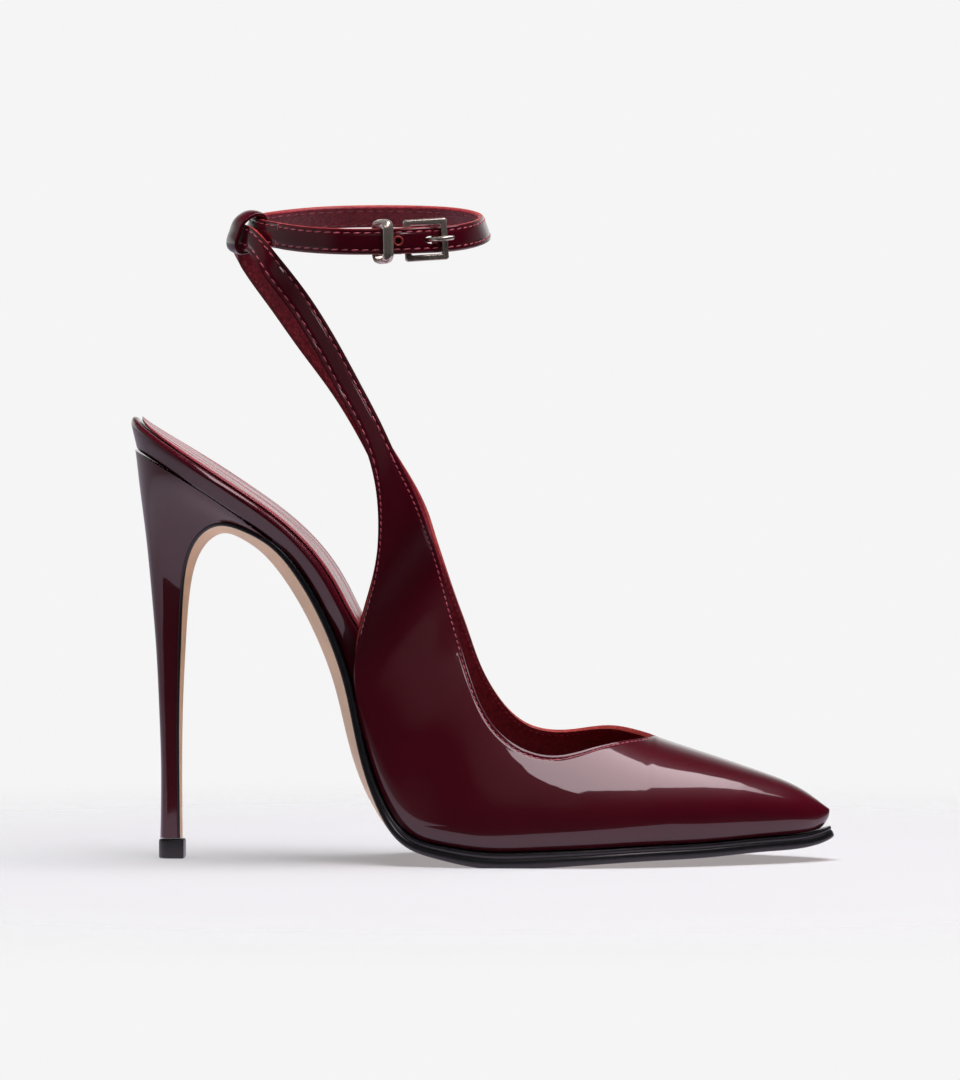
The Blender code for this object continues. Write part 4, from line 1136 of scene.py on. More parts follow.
def build_upper():
    sizes = bpy.context.scene.stiletto_sizes
    shape = UpperShape(sizes.stitch_inset / MM)
    grid = shape.grid
    count, points = grid.shape[:2]
    faces = []
    for i in range(count):
        k = (i + 1) % count
        for j in range(points - 1):
            faces.append((i * points + j, k * points + j, k * points + j + 1, i * points + j + 1))
    finishes = [finish("patent"), finish("lining"), finish("cut_edge")]
    made = add_piece("lined_upper", grid, faces, finishes, flat_angle=60.0)
    work = bmesh.new()
    work.from_mesh(made.data)
    bmesh.ops.remove_doubles(work, verts=work.verts, dist=1e-6)
    bmesh.ops.recalc_face_normals(work, faces=work.faces)
    outermost = min(work.faces, key=lambda face: face.calc_center_median().y)
    if outermost.normal.y > 0:
        bmesh.ops.reverse_faces(work, faces=work.faces)
    work.to_mesh(made.data)
    work.free()
    wall = made.modifiers.new("wall", "SOLIDIFY")
    wall.thickness = sizes.wall
    wall.offset = -1.0
    wall.material_offset = 1
    wall.material_offset_rim = 2
    softened = made.modifiers.new("rounded cut edge", "BEVEL")
    softened.width = CUT_EDGE_ROUND * MM
    softened.segments = 3
    softened.limit_method = "ANGLE"
    softened.angle_limit = math.radians(60)
    applied(made)
    made.data.set_sharp_from_angle(angle=math.radians(70))
    carried(made, "patent", "upper")


# Ankle strap


def bends_middle():
    xs = [bend.x for bend in ANKLE_RING]
    return (max(xs) + min(xs)) / 2


class AnkleRing:
    """The ankle strap's middle line and its directions, by distance from the hinge bar."""

    def __init__(self):
        bends = np.array(ANKLE_RING)
        around = len(bends)
        rows = np.concatenate([bends, bends, bends, bends[:1]])
        knots = lengths_along(rows)
        lap = knots[around]
        fine = np.linspace(lap, 2 * lap, RING_STEPS + 1)
        line = smooth(knots, rows, fine)
        outer = np.where(line[:, 1] < 0, np.abs(line[:, 0] - HINGE_X), np.inf)
        self.knots, self.rows, self.lap = knots, rows, lap
        self.hinge = fine[np.argmin(outer)]

    def frame(self, along):
        """Middle, along, across and out at distances from the hinge bar towards the back."""
        wanted = np.mod(self.hinge + np.asarray(along, float) - self.lap, self.lap) + self.lap
        step = 0.2
        flat = smooth(self.knots, self.rows, wanted)
        ahead = smooth(self.knots, self.rows, wanted + step)
        behind = smooth(self.knots, self.rows, wanted - step)
        middle = np.column_stack([flat, RING_HEIGHT + RING_TILT * flat[:, 1]])
        run = unit(np.column_stack([ahead - behind, RING_TILT * (ahead - behind)[:, 1]]))
        level = np.column_stack([run[:, :2], np.zeros(len(run))])
        out = np.cross(unit(level), (0.0, 0.0, -1.0))
        inner_side = np.sin(np.arctan2(flat[:, 1], flat[:, 0] - bends_middle()))
        lean = (RING_LEAN * (0.5 + 0.5 * inner_side))[:, None]
        out = out * np.cos(lean) + np.array([0.0, 0.0, 1.0]) * np.sin(lean)
        out = unit(out - run * np.sum(out * run, axis=1, keepdims=True))
        across = np.cross(run, out)
        return middle, run, across * np.sign(across[:, 2:3]), out

    def one_frame(self, along):
        return tuple(value[0] for value in self.frame([along]))

    def band(self, along):
        """The strap's own middle, across and out, with its free end lifted over its fixed end."""
        middle, _, across, out = self.frame(along)
        lift = np.where(along > self.lap / 2, tail_lift(along - self.lap), 0.0)
        return middle + out * lift[:, None], across, out


def tail_lift(along):
    """How far the free end stands out, by distance past the hinge bar; nothing before the first row."""
    rows = np.array(TAIL_LIFT)
    inside = np.clip(along, rows[0, 0], rows[-1, 0])
    return smooth(rows[:, 0], rows[:, 1:], inside)[:, 0]


FIXED_END = BUCKLE_BAR / 2 + 0.4  # where the strap starts, just clear of the hinge bar
TAIL_TAPER = 3.4  # length over which the end of the tail is rounded
TAIL_NARROWEST = 0.72  # share of the strap's width at the very end of the tail
BAND_EDGE = 0.55  # radius of the strap's edges
BAND_CROWN = 0.16  # how far the face stands up between the stitch rows
LINING_GROOVE = 0.5  # depth of the lining's grooves as a share of the face's
FACE_POINTS = 29
EDGE_POINTS = 7
PATENT_STRIPS = 2  # strips of a rounded edge that the patent leather covers
LINING_STRIPS = 3  # and those that the lining covers; the rest is the raw edge
HOLE_STEPS = 32
CUT_BELOW = 0.2  # how far a hole's cutter reaches past the free end's lining
CUT_ABOVE = 1.8  # how far it reaches out from the free end's middle


def band_outline(inset):
    """Loop round the strap's section, in millimetres across and out, with the finish number of each strip."""
    half, deep = BAND_WIDTH / 2, BAND_THICK / 2
    across = np.linspace(half - BAND_EDGE, -half + BAND_EDGE, FACE_POINTS)
    rows = bump_at(np.abs(across), half - inset, GROOVE_REACH)
    face = deep + BAND_CROWN * (1 - (across / half) ** 2) - STITCH_GROOVE * rows
    lining = -deep + LINING_GROOVE * STITCH_GROOVE * rows
    turn = np.linspace(0, math.pi, EDGE_POINTS + 2)[1:-1]
    low_edge = [(-half + BAND_EDGE - BAND_EDGE * math.sin(t), deep * math.cos(t)) for t in turn]
    loop = list(zip(across, face)) + low_edge
    loop += list(zip(across[::-1], lining[::-1])) + [(-a, -b) for a, b in low_edge]
    raw = EDGE_POINTS + 1 - PATENT_STRIPS - LINING_STRIPS
    rim = [0] * PATENT_STRIPS + [2] * raw + [1] * LINING_STRIPS
    numbers = [0] * (FACE_POINTS - 1) + rim + [1] * (FACE_POINTS - 1) + rim[::-1]
    return np.array(loop), numbers


def hole_cutter(ring, hole, name):
    """An oval peg through the strap's free end alone."""
    middle, run, across, out = ring.one_frame(hole.along)
    lift = tail_lift(np.array([hole.along]))[0]
    turn = np.linspace(0, 2 * math.pi, HOLE_STEPS, endpoint=False)
    offset = np.outer(np.cos(turn), run) * hole.length / 2 + np.outer(np.sin(turn), across) * hole.width / 2
    depths = (-BAND_THICK / 2 - CUT_BELOW, CUT_ABOVE)
    sections = [middle + out * (lift + depth) + offset for depth in depths]
    return lofted(name, sections, [finish("cut_edge")], [0] * HOLE_STEPS)


def build_ankle_strap():
    inset = bpy.context.scene.stiletto_sizes.stitch_inset / MM
    ring = AnkleRing()
    along = np.linspace(FIXED_END, ring.lap + TAIL_LENGTH, BAND_SECTIONS)
    middle, across, out = ring.band(along)
    to_end = np.clip((ring.lap + TAIL_LENGTH - along) / TAIL_TAPER, 0, 1)
    narrow = TAIL_NARROWEST + (1 - TAIL_NARROWEST) * np.sqrt(1 - (1 - to_end) ** 2)
    loop, numbers = band_outline(inset)
    wide = loop[:, 0] * narrow[:, None]
    sections = middle[:, None, :] + across[:, None, :] * wide[:, :, None]
    sections = sections + out[:, None, :] * loop[:, 1][:, None]
    finishes = [finish("patent"), finish("lining"), finish("cut_edge")]
    made = lofted("lined_ankle_strap", sections, finishes, numbers, cap_number=2, flat_angle=60.0)
    cutters = []
    for name, hole in (("punched_hole", PUNCHED_HOLE), ("prong_hole", PRONG_HOLE)):
        cutter = hole_cutter(ring, hole, name)
        cutters.append(cutter)
        cut = made.modifiers.new(name, "BOOLEAN")
        cut.operation = "DIFFERENCE"
        cut.solver = "EXACT"
        cut.material_mode = "TRANSFER"
        cut.object = cutter
    applied(made)
    for cutter in cutters:
        bpy.data.objects.remove(cutter)
    carried(made, "patent", "ankle_strap")
    build_hole_rim(ring)


HOLE_RIM_WIDTH = 0.55
HOLE_RIM_HEIGHT = 0.28
HOLE_RIM_STEPS = 40
HOLE_RIM_AROUND = 12


def build_hole_rim(ring):
    """The burnished lip that the punch leaves round the hole."""
    middle, run, across, out = ring.one_frame(PUNCHED_HOLE.along)
    lift = tail_lift(np.array([PUNCHED_HOLE.along]))[0] + BAND_THICK / 2 + BAND_CROWN
    centre = middle + out * lift
    sections = []
    for turn in np.linspace(0, 2 * math.pi, HOLE_RIM_STEPS, endpoint=False):
        away = run * math.cos(turn) + across * math.sin(turn)
        loop = []
        for part in np.linspace(0, 2 * math.pi, HOLE_RIM_AROUND, endpoint=False):
            reach = PUNCHED_HOLE.length / 2 + HOLE_RIM_WIDTH / 2 * (1 - math.cos(part))
            loop.append(centre + away * reach + out * HOLE_RIM_HEIGHT * math.sin(part))
        sections.append(loop)
    made = lofted("punched_hole_lip", sections, [finish("cut_edge")], [0] * HOLE_RIM_AROUND, closed=True)
    carried(made, "patent")


# Loop, buckle and keeper

CORNER_STEPS = 10
FACE_STEPS = 8
SOFT_STEPS = 4
# Radius of each ring's edges and how far its outer face is crowned
Ring = namedtuple("Ring", "softness crown")
BUCKLE_RING = Ring(0.5, 0.1)
KEEPER_RING = Ring(0.5, 0.35)
LOOP_RING = Ring(0.45, 0.25)


def rounded_rectangle(width, height, radius):
    points = []
    for sign_first, sign_second, start in ((1, 1, 0), (-1, 1, 90), (-1, -1, 180), (1, -1, 270)):
        for turn in np.radians(start + np.linspace(0, 90, CORNER_STEPS + 1)):
            reach = sign_first * (width / 2 - radius), sign_second * (height / 2 - radius)
            points.append((reach[0] + radius * math.cos(turn), reach[1] + radius * math.sin(turn)))
    return np.array(points)


def ring_piece(name, outlines, place, depth, ring, finishes, inside=0):
    """A ring between an inner and an outer outline, with soft edges and a crowned outer face.

    place: the middle, the two directions of the outlines' plane and the direction across it.
    """
    inner, outer = outlines
    middle, first, second, axis = place
    softness = ring.softness
    thickness = np.linalg.norm(outer - inner, axis=1).min()
    half = depth / 2 - softness
    soft = softness / thickness
    quarter = np.radians(np.linspace(0, 90, SOFT_STEPS + 1))
    face = np.linspace(-half, half, FACE_STEPS + 1)[1:-1]
    section = [(1 + ring.crown / thickness * (1 - (side / half) ** 2), side) for side in face]
    section += [(1 - soft + soft * math.cos(turn), half + softness * math.sin(turn)) for turn in quarter]
    section += [(soft - soft * math.sin(turn), half + softness * math.cos(turn)) for turn in quarter]
    section += [(soft - soft * math.cos(turn), -half - softness * math.sin(turn)) for turn in quarter]
    section += [(1 - soft + soft * math.sin(turn), -half - softness * math.cos(turn)) for turn in quarter]
    loops = []
    for share, side in section:
        at = inner + (outer - inner) * share
        loops.append(middle + at[:, :1] * first + at[:, 1:] * second + axis * side)
    numbers = [0] * len(section)
    numbers[len(face) + 2 * len(quarter) - 1] = inside
    return lofted(name, np.stack(loops, axis=1), finishes, numbers, closed=True, flat_angle=50.0)


def build_buckle():
    ring = AnkleRing()
    hinge, _, across, out_hinge = ring.one_frame(0.0)
    reach = BUCKLE_LENGTH - BUCKLE_BAR
    tongue, _, _, out_tongue = ring.one_frame(-reach)
    low = hinge + out_hinge * HINGE_OUT
    high = tongue + out_tongue * TONGUE_BAR_OUT
    run = unit(high - low)
    across = unit(across - run * np.dot(across, run))
    place = (low + high) / 2, run, across, np.cross(run, across)
    inner = rounded_rectangle(reach - BUCKLE_BAR, BUCKLE_HEIGHT - 2 * BUCKLE_BAR, BUCKLE_CORNER)
    outer = rounded_rectangle(reach + BUCKLE_BAR, BUCKLE_HEIGHT, FRAME_CORNER)
    finishes = [finish("metal")]
    made = ring_piece("plated_buckle_frame", (inner, outer), place, BUCKLE_BAR, BUCKLE_RING, finishes)
    carried(made, "buckle_metal", "buckle_frame")


PRONG_SECTIONS = 46
PRONG_AROUND = 14


def build_prong():
    ring = AnkleRing()
    distances = np.array([bend.along for bend in PRONG])
    heights = np.array([bend.out for bend in PRONG])
    middle, _, across, out = ring.frame(-distances)
    points = middle + out * heights[:, None]
    at = lengths_along(points)
    stops = np.linspace(0, at[-1], PRONG_SECTIONS)
    line = smooth(at, points, stops)
    run = unit(np.gradient(line, axis=0))
    side = unit(across[0] - run * (run @ across[0])[:, None])
    up = np.cross(run, side)
    to_end = np.minimum(stops, at[-1] - stops) / PRONG_RADIUS
    width = PRONG_RADIUS * np.sqrt(1 - np.clip(1 - to_end, 0, 0.98) ** 2)
    turn = np.linspace(0, 2 * math.pi, PRONG_AROUND + 1)[:-1]
    ring_side = side[:, None, :] * np.cos(turn)[:, None]
    ring_up = up[:, None, :] * np.sin(turn)[:, None]
    sections = line[:, None, :] + (ring_side + ring_up) * width[:, None, None]
    made = lofted("plated_buckle_prong", sections, [finish("metal")], [0] * PRONG_AROUND)
    carried(made, "buckle_metal", "buckle_prong")


def build_keeper():
    ring = AnkleRing()
    middle, run, across, out = ring.one_frame(KEEPER_ALONG)
    lift = tail_lift(np.array([KEEPER_ALONG]))[0] / 2
    turned_run = run * math.cos(KEEPER_TURN) + out * math.sin(KEEPER_TURN)
    turned_out = out * math.cos(KEEPER_TURN) - run * math.sin(KEEPER_TURN)
    place = middle + out * lift, turned_out, across, turned_run
    width, height = KEEPER_OPENING
    inner = rounded_rectangle(width, height, RING_CORNER)
    outer = rounded_rectangle(width + 2 * KEEPER_BAR, height + 2 * KEEPER_BAR, RING_CORNER + KEEPER_BAR)
    finishes = [finish("metal")]
    made = ring_piece("plated_strap_keeper", (inner, outer), place, KEEPER_WIDTH, KEEPER_RING, finishes)
    carried(made, "buckle_metal", "strap_keeper")


def build_back_loop():
    ring = AnkleRing()
    before, after = (np.array(ANKLE_RING[number]) for number in LOOP_BENDS)
    ring_at = (before + after) / 2
    fine = np.linspace(0, ring.lap, RING_STEPS // 2 + 1)
    line = ring.frame(fine)[0]
    at = fine[np.argmin(np.linalg.norm(line[:, :2] - ring_at, axis=1))]
    middle, run, _, out = ring.one_frame(at)
    long_side = np.array([math.sin(LOOP_LEAN), 0.0, math.cos(LOOP_LEAN)])
    long_side = unit(long_side - run * np.dot(long_side, run))
    short_side = np.cross(run, long_side)
    short_side = short_side * np.sign(np.dot(short_side, out))
    rows = np.array(LOOP_OUTLINE)
    rounds = np.concatenate([rows, rows, rows, rows[:1]])
    knots = lengths_along(rounds)
    lap = knots[len(rows)]
    inner = smooth(knots, rounds, np.linspace(lap, 2 * lap, LOOP_STEPS, endpoint=False))
    ahead = unit(np.roll(inner, -1, axis=0) - np.roll(inner, 1, axis=0))
    outer = inner + np.stack([-ahead[:, 1], ahead[:, 0]], 1) * LOOP_WALL
    place = middle, short_side, long_side, run
    finishes = [finish("patent"), finish("lining")]
    made = ring_piece("patent_back_loop", (inner, outer), place, LOOP_WIDTH, LOOP_RING, finishes, inside=1)
    carried(made, "patent", "back_loop")


# Stitch rows


def stitch_tree():
    """Sets one thread stitch at each pitch along rows of points that carry the normal of their face."""
    tree = bpy.data.node_groups.new("stitch rows", "GeometryNodeTree")
    face = tree.interface
    face.new_socket("Rows", in_out="INPUT", socket_type="NodeSocketGeometry")
    for name in ("Pitch", "Length", "Width", "Height", "Slant"):
        face.new_socket(name, in_out="INPUT", socket_type="NodeSocketFloat")
    face.new_socket("Thread", in_out="INPUT", socket_type="NodeSocketMaterial")
    face.new_socket("Stitches", in_out="OUTPUT", socket_type="NodeSocketGeometry")
    given = add_node(tree, "NodeGroupInput").outputs
    curve = add_node(tree, "GeometryNodeMeshToCurve", None, {"Mesh": given["Rows"]})
    spaced = add_node(
        tree,
        "GeometryNodeResampleCurve",
        {"mode": "LENGTH"},
        {"Curve": curve.outputs["Curve"], "Length": given["Pitch"]},
    )
    tangent = add_node(tree, "GeometryNodeInputTangent")
    normal = add_node(
        tree, "GeometryNodeInputNamedAttribute", {"data_type": "FLOAT_VECTOR", "Name": "face_normal"}
    )
    along = add_node(
        tree,
        "FunctionNodeAlignRotationToVector",
        {"axis": "X"},
        {"Vector": tangent.outputs["Tangent"]},
    )
    facing = add_node(
        tree,
        "FunctionNodeAlignRotationToVector",
        {"axis": "Z", "pivot_axis": "X"},
        {"Rotation": along.outputs["Rotation"], "Vector": normal.outputs["Attribute"]},
    )
    bead = add_node(tree, "GeometryNodeMeshUVSphere", {"Segments": 8, "Rings": 5, "Radius": 0.5})
    rounded = add_node(tree, "GeometryNodeSetShadeSmooth", None, {"Geometry": bead.outputs["Mesh"]})
    size = add_node(
        tree,
        "ShaderNodeCombineXYZ",
        None,
        {"X": given["Length"], "Y": given["Width"], "Z": given["Height"]},
    )
    turned = add_node(tree, "ShaderNodeCombineXYZ", None, {"Z": given["Slant"]})
    stitch = add_node(
        tree,
        "GeometryNodeTransform",
        None,
        {
            "Geometry": rounded.outputs["Geometry"],
            "Rotation": turned.outputs["Vector"],
            "Scale": size.outputs["Vector"],
        },
    )
    placed = add_node(
        tree,
        "GeometryNodeInstanceOnPoints",
        None,
        {
            "Points": spaced.outputs["Curve"],
            "Instance": stitch.outputs["Geometry"],
            "Rotation": facing.outputs["Rotation"],
        },
    )
    real = add_node(tree, "GeometryNodeRealizeInstances", None, {"Geometry": placed.outputs["Instances"]})
    dyed = add_node(
        tree,
        "GeometryNodeSetMaterial",
        None,
        {"Geometry": real.outputs["Geometry"], "Material": given["Thread"]},
    )
    add_node(tree, "NodeGroupOutput", None, {"Stitches": dyed.outputs["Geometry"]})
    return tree


def sew(name, rows, tree, values):
    """Stitches along rows, each a pair of points in millimetres and unit normals."""
    points = np.concatenate([row[0] for row in rows])
    normals = np.concatenate([row[1] for row in rows])
    edges, first = [], 0
    for row in rows:
        count = len(row[0])
        edges += [(first + k, first + k + 1) for k in range(count - 1)]
        first += count
    mesh = bpy.data.meshes.new(name)
    mesh.from_pydata((points * MM).tolist(), edges, [])
    held = mesh.attributes.new("face_normal", "FLOAT_VECTOR", "POINT")
    held.data.foreach_set("vector", normals.ravel())
    made = bpy.data.objects.new(name, mesh)
    bpy.context.scene.collection.objects.link(made)
    sewn = made.modifiers.new("stitch rows", "NODES")
    sewn.node_group = tree
    for item in tree.interface.items_tree:
        if item.in_out == "INPUT" and item.name in values:
            sewn[item.identifier] = values[item.name]
    applied(made)
    carried(made, "patent")


THREAD_SINK = 0.05  # how deep a stitch's middle lies under the leather's face
THREAD_FLATNESS = 0.9  # height of a stitch as a share of its width
# How much of its pitch a stitch fills and how far it slants
Stitch = namedtuple("Stitch", "fill slant")
WING_STITCH = Stitch(0.8, math.radians(9))
STRAP_STITCH = Stitch(0.78, math.radians(4))
ROW_POINTS = 300
ROW_START = 2.0  # distance of the first stitch from where a row comes into sight
ROW_END = 2.2  # distance of the face's last stitch from the tail's end
LINING_END = 14.0  # distance of the lining's last stitch before the hinge bar
TAIL_ROW_AT = 1.6  # distance of the row across the tail from its end
TAIL_ROW_RISE = 0.6  # share of the crown at which that row lies
TAIL_ROW_POINTS = 9


def upper_rows(shape, wall):
    """The four edge rows of the upper, outside and on the lining, cut apart into wing and strap stretches."""
    near = EDGE_STOPS.index(1.0)
    far = -1 - near
    wing_rows, strap_rows = [], []
    for column, shown in ((far, shape.behind_throat), (near, shape.off_sole)):
        for depth, sign in ((STITCH_GROOVE + THREAD_SINK, 1.0), (wall - THREAD_SINK, -1.0)):
            points = shape.grid[:, column] - shape.normals[:, column] * (depth - STITCH_GROOVE)
            normals = shape.normals[:, column] * sign
            for rows, wanted in ((wing_rows, shown & ~shape.is_strap), (strap_rows, shown & shape.is_strap)):
                for stretch in np.split(np.arange(len(wanted)), np.flatnonzero(np.diff(wanted)) + 1):
                    if wanted[stretch[0]] and len(stretch) > 2:
                        rows.append((points[stretch], normals[stretch]))
    return wing_rows, strap_rows


def band_rows(ring, inset):
    """Two rows on the strap's face, two on its lining, and one across the tail's end."""
    rows = []
    end = ring.lap + TAIL_LENGTH
    face = np.linspace(TAIL_LENGTH + ROW_START, end - ROW_END, ROW_POINTS)
    lining = np.linspace(FIXED_END + ROW_START, ring.lap - LINING_END, ROW_POINTS)
    for side in (1, -1):
        for along, sign in ((face, 1), (lining, -1)):
            middle, across, out = ring.band(along)
            height = BAND_THICK / 2 - THREAD_SINK
            points = middle + across * side * (BAND_WIDTH / 2 - inset) + out * sign * height
            rows.append((points, out * sign))
    middle, across, out = ring.band(np.array([end - TAIL_ROW_AT]))
    spread = np.linspace(-1, 1, TAIL_ROW_POINTS)[:, None] * (BAND_WIDTH / 2 - inset)
    points = middle + across * spread + out * (BAND_THICK / 2 + BAND_CROWN * TAIL_ROW_RISE)
    rows.append((points, np.repeat(out, TAIL_ROW_POINTS, axis=0)))
    return rows


def stitch_values(pitch, stitch):
    """The stitch tree's inputs for one kind of row."""
    width = bpy.context.scene.stiletto_sizes.thread_width
    return {
        "Pitch": pitch,
        "Length": pitch * stitch.fill,
        "Width": width,
        "Height": width * THREAD_FLATNESS,
        "Slant": stitch.slant,
        "Thread": finish("thread"),
    }


def build_stitches():
    sizes = bpy.context.scene.stiletto_sizes
    inset = sizes.stitch_inset / MM
    wing_rows, strap_rows = upper_rows(UpperShape(inset), sizes.wall / MM)
    tree = stitch_tree()
    wing = stitch_values(sizes.wing_pitch, WING_STITCH)
    strap = stitch_values(sizes.strap_pitch, STRAP_STITCH)
    sew("wing_stitches", wing_rows, tree, wing)
    sew("side_strap_stitches", strap_rows, tree, strap)
    sew("ankle_strap_stitches", band_rows(AnkleRing(), inset), tree, strap)


# Stage

CAMERA_PLACE = Vector((0.1036, -1.9966, 0.14575))
CAMERA_AIM = Vector((-0.001, 0.0, 0.0934))
CAMERA_LENS = 228.0
CAMERA_SENSOR = 36.0
CAMERA_REACH = 50.0
FLOOR_REACH = 0.9
FLOOR_STEPS = 64
FLOOR_LEVEL = -0.02  # millimetres, just under the sole and the top piece
FLOOR_FADE = (0.12, 0.4)  # distances from the middle, in metres, between which the paper runs out


def pale_paper():
    # Matt white background paper that runs out into the pale backdrop.
    made, tree, shader, place = new_material("white background paper")
    away = add_node(tree, "ShaderNodeVectorMath", {"operation": "LENGTH"}, {"Vector": place})
    fade = add_node(
        tree,
        "ShaderNodeMapRange",
        {
            "From Min": FLOOR_FADE[0],
            "From Max": FLOOR_FADE[1],
            "To Min": 1.0,
            "To Max": 0.0,
            "interpolation_type": "SMOOTHSTEP",
        },
        {"Value": away.outputs["Value"]},
    )
    fibre = add_node(tree, "ShaderNodeTexNoise", {"Scale": per_metre(2), "Detail": 3.0}, {"Vector": place})
    tone = add_node(tree, "ShaderNodeValToRGB", None, {"Fac": fibre.outputs["Fac"]})
    set_stops(tone.color_ramp, ((0.0, opaque("#959697")), (1.0, opaque("#98999a"))))
    tree.links.new(tone.outputs["Color"], shader.inputs["Base Color"])
    tree.links.new(fade.outputs["Result"], shader.inputs["Alpha"])
    set_shader(
        shader,
        {
            "Roughness": 0.9,
            "Specular IOR Level": 0.0,
            "Emission Color": opaque("#ccccd2"),
            "Emission Strength": 0.43,
        },
    )
    return made


def build_floor():
    points = [(0.0, 0.0, FLOOR_LEVEL)]
    for k in range(FLOOR_STEPS):
        turn = 2 * math.pi * k / FLOOR_STEPS
        points.append((FLOOR_REACH / MM * math.cos(turn), FLOOR_REACH / MM * math.sin(turn), FLOOR_LEVEL))
    faces = [(0, 1 + k, 1 + (k + 1) % FLOOR_STEPS) for k in range(FLOOR_STEPS)]
    made = add_piece("paper_floor", points, faces, [pale_paper()])
    made.visible_glossy = False


# Brightness of the studio round the shoe, by the angle up from the camera's side over the top to the back
STUDIO = (
    (-180.0, 0.4),
    (-110.0, 0.3),
    (-80.0, 0.01),
    (60.0, 0.01),
    (141.0, 0.02),
    (150.0, 0.12),
    (158.0, 0.4),
    (168.0, 0.85),
    (180.0, 0.9),
)
# Brightness of its left and right walls, by the share of a direction that points there
WALLS = ((-1.0, 0.2), (-0.75, 0.2), (-0.5, 0.0), (1.0, 0.0))
# The dark screen on the right: the shares of a direction to the right where it starts and where it is full,
# and the share of the light that it lets through
SCREEN = (0.3, 0.6)
SCREEN_LEVEL = 0.12
# A dim patch of light by the camera: where it lies, how closely a direction must point there and its level
GLOW_FROM = (-0.1, -0.91, 0.4)
GLOW_SPREAD = (0.95, 0.995)
GLOW_LEVEL = 0.15

# Outline of the white card on the floor that the lacquer mirrors, in metres, and the distances from the shoe
# between which it dims
CARD = (
    (-2.5, -0.32),
    (-0.16, -0.26),
    (-0.13, -0.185),
    (-0.09, -0.18),
    (-0.06, -0.085),
    (-0.01, -0.064),
    (0.1, -0.08),
    (0.13, -0.045),
    (0.5, 0.0),
    (0.5, 2.5),
    (-2.5, 2.5),
)
CARD_DIMS = (0.2, 0.6)
CARD_LEVELS = (1.1, 0.35)  # its brightness nearer and further than that
CARD_HEIGHT = -0.05  # millimetres, under the paper
CARD_COLOUR = "#f6e6fa"  # white, tinted by what the red shoe throws on it

# The large light overhead that lights the floor; it is too soft to show in the lacquer.
OVERHEAD_HEIGHT = 1.2
OVERHEAD_SIZE = 1.0
OVERHEAD_WATTS = 26.0

# The soft panel over the shoe: its height in metres, the place that it hangs over, and its outline from there
# in panel heights. Its level falls off towards the end on the toe's side.
PANEL_HEIGHT = 1.2
PANEL_OVER = (0.04, -0.03)
PANEL = (
    (0.2, 0.3),
    (0.2, -1.15),
    (0.05, -1.36),
    (0.09, -1.42),
    (0.2, -1.5),
    (0.22, -1.64),
    (0.26, -1.64),
    (0.33, -1.28),
    (0.585, -0.7),
    (0.64, -0.17),
    (0.635, 0.0),
    (0.645, 0.13),
    (0.715, 0.24),
    (0.82, 0.225),
    (1.03, 0.354),
    (0.756, 0.32),
    (0.6, 0.5),
    (0.49, 0.548),
    (0.455, 0.5),
    (0.43, 0.4),
    (0.415, 0.31),
)
PANEL_END = (0.87, 0.5)
PANEL_DIM = (0.62, 1.15)  # where along that direction it starts to dim and where it is dark, in panel heights
PANEL_LEVEL = 6.6
PANEL_COLOUR = "#ffeef4"


def grey(level):
    return (level, level, level, 1.0)


def glowing(name, code, level):
    """A light-giving surface with its tree, its emission node and the piece's own coordinates."""
    made, tree, shader, place = new_material(name)
    tree.nodes.remove(shader)
    light = add_node(tree, "ShaderNodeEmission", {"Color": opaque(code), "Strength": level})
    tree.links.new(light.outputs["Emission"], tree.nodes["Material Output"].inputs["Surface"])
    return made, tree, light, place


def build_card():
    """The white card under and round the shoe, which only mirror-like surfaces see."""
    points = [(x / MM, y / MM, CARD_HEIGHT) for x, y in CARD]
    white, tree, light, place = glowing("white card", CARD_COLOUR, CARD_LEVELS[0])
    away = add_node(tree, "ShaderNodeVectorMath", {"operation": "LENGTH"}, {"Vector": place})
    dimmed = add_node(
        tree,
        "ShaderNodeMapRange",
        {
            "From Min": CARD_DIMS[0],
            "From Max": CARD_DIMS[1],
            "To Min": CARD_LEVELS[0],
            "To Max": CARD_LEVELS[1],
        },
        {"Value": away.outputs["Value"]},
    )
    tree.links.new(dimmed.outputs["Result"], light.inputs["Strength"])
    made = add_piece("white_card", points, [tuple(range(len(CARD)))], [white])
    made.visible_camera = False
    made.visible_diffuse = False


def build_panel():
    """The soft panel over the shoe, dimmed towards its end."""
    cloth, tree, light, place = glowing("soft panel", PANEL_COLOUR, PANEL_LEVEL)
    along = add_node(tree, "ShaderNodeVectorMath", {"operation": "DOT_PRODUCT"}, {0: place})
    along.inputs[1].default_value = (*PANEL_END, 0.0)
    dimmed = add_node(
        tree,
        "ShaderNodeMapRange",
        {
            "From Min": PANEL_DIM[0] * PANEL_HEIGHT,
            "From Max": PANEL_DIM[1] * PANEL_HEIGHT,
            "To Min": PANEL_LEVEL,
            "To Max": 0.0,
        },
        {"Value": along.outputs["Value"]},
    )
    tree.links.new(dimmed.outputs["Result"], light.inputs["Strength"])
    points = []
    for x, y in PANEL:
        corner = (PANEL_OVER[0] + x * PANEL_HEIGHT, PANEL_OVER[1] + y * PANEL_HEIGHT, PANEL_HEIGHT)
        points.append(np.array(corner) / MM)
    made = add_piece("soft_panel", points, [tuple(range(len(PANEL)))], [cloth])
    made.visible_camera = False


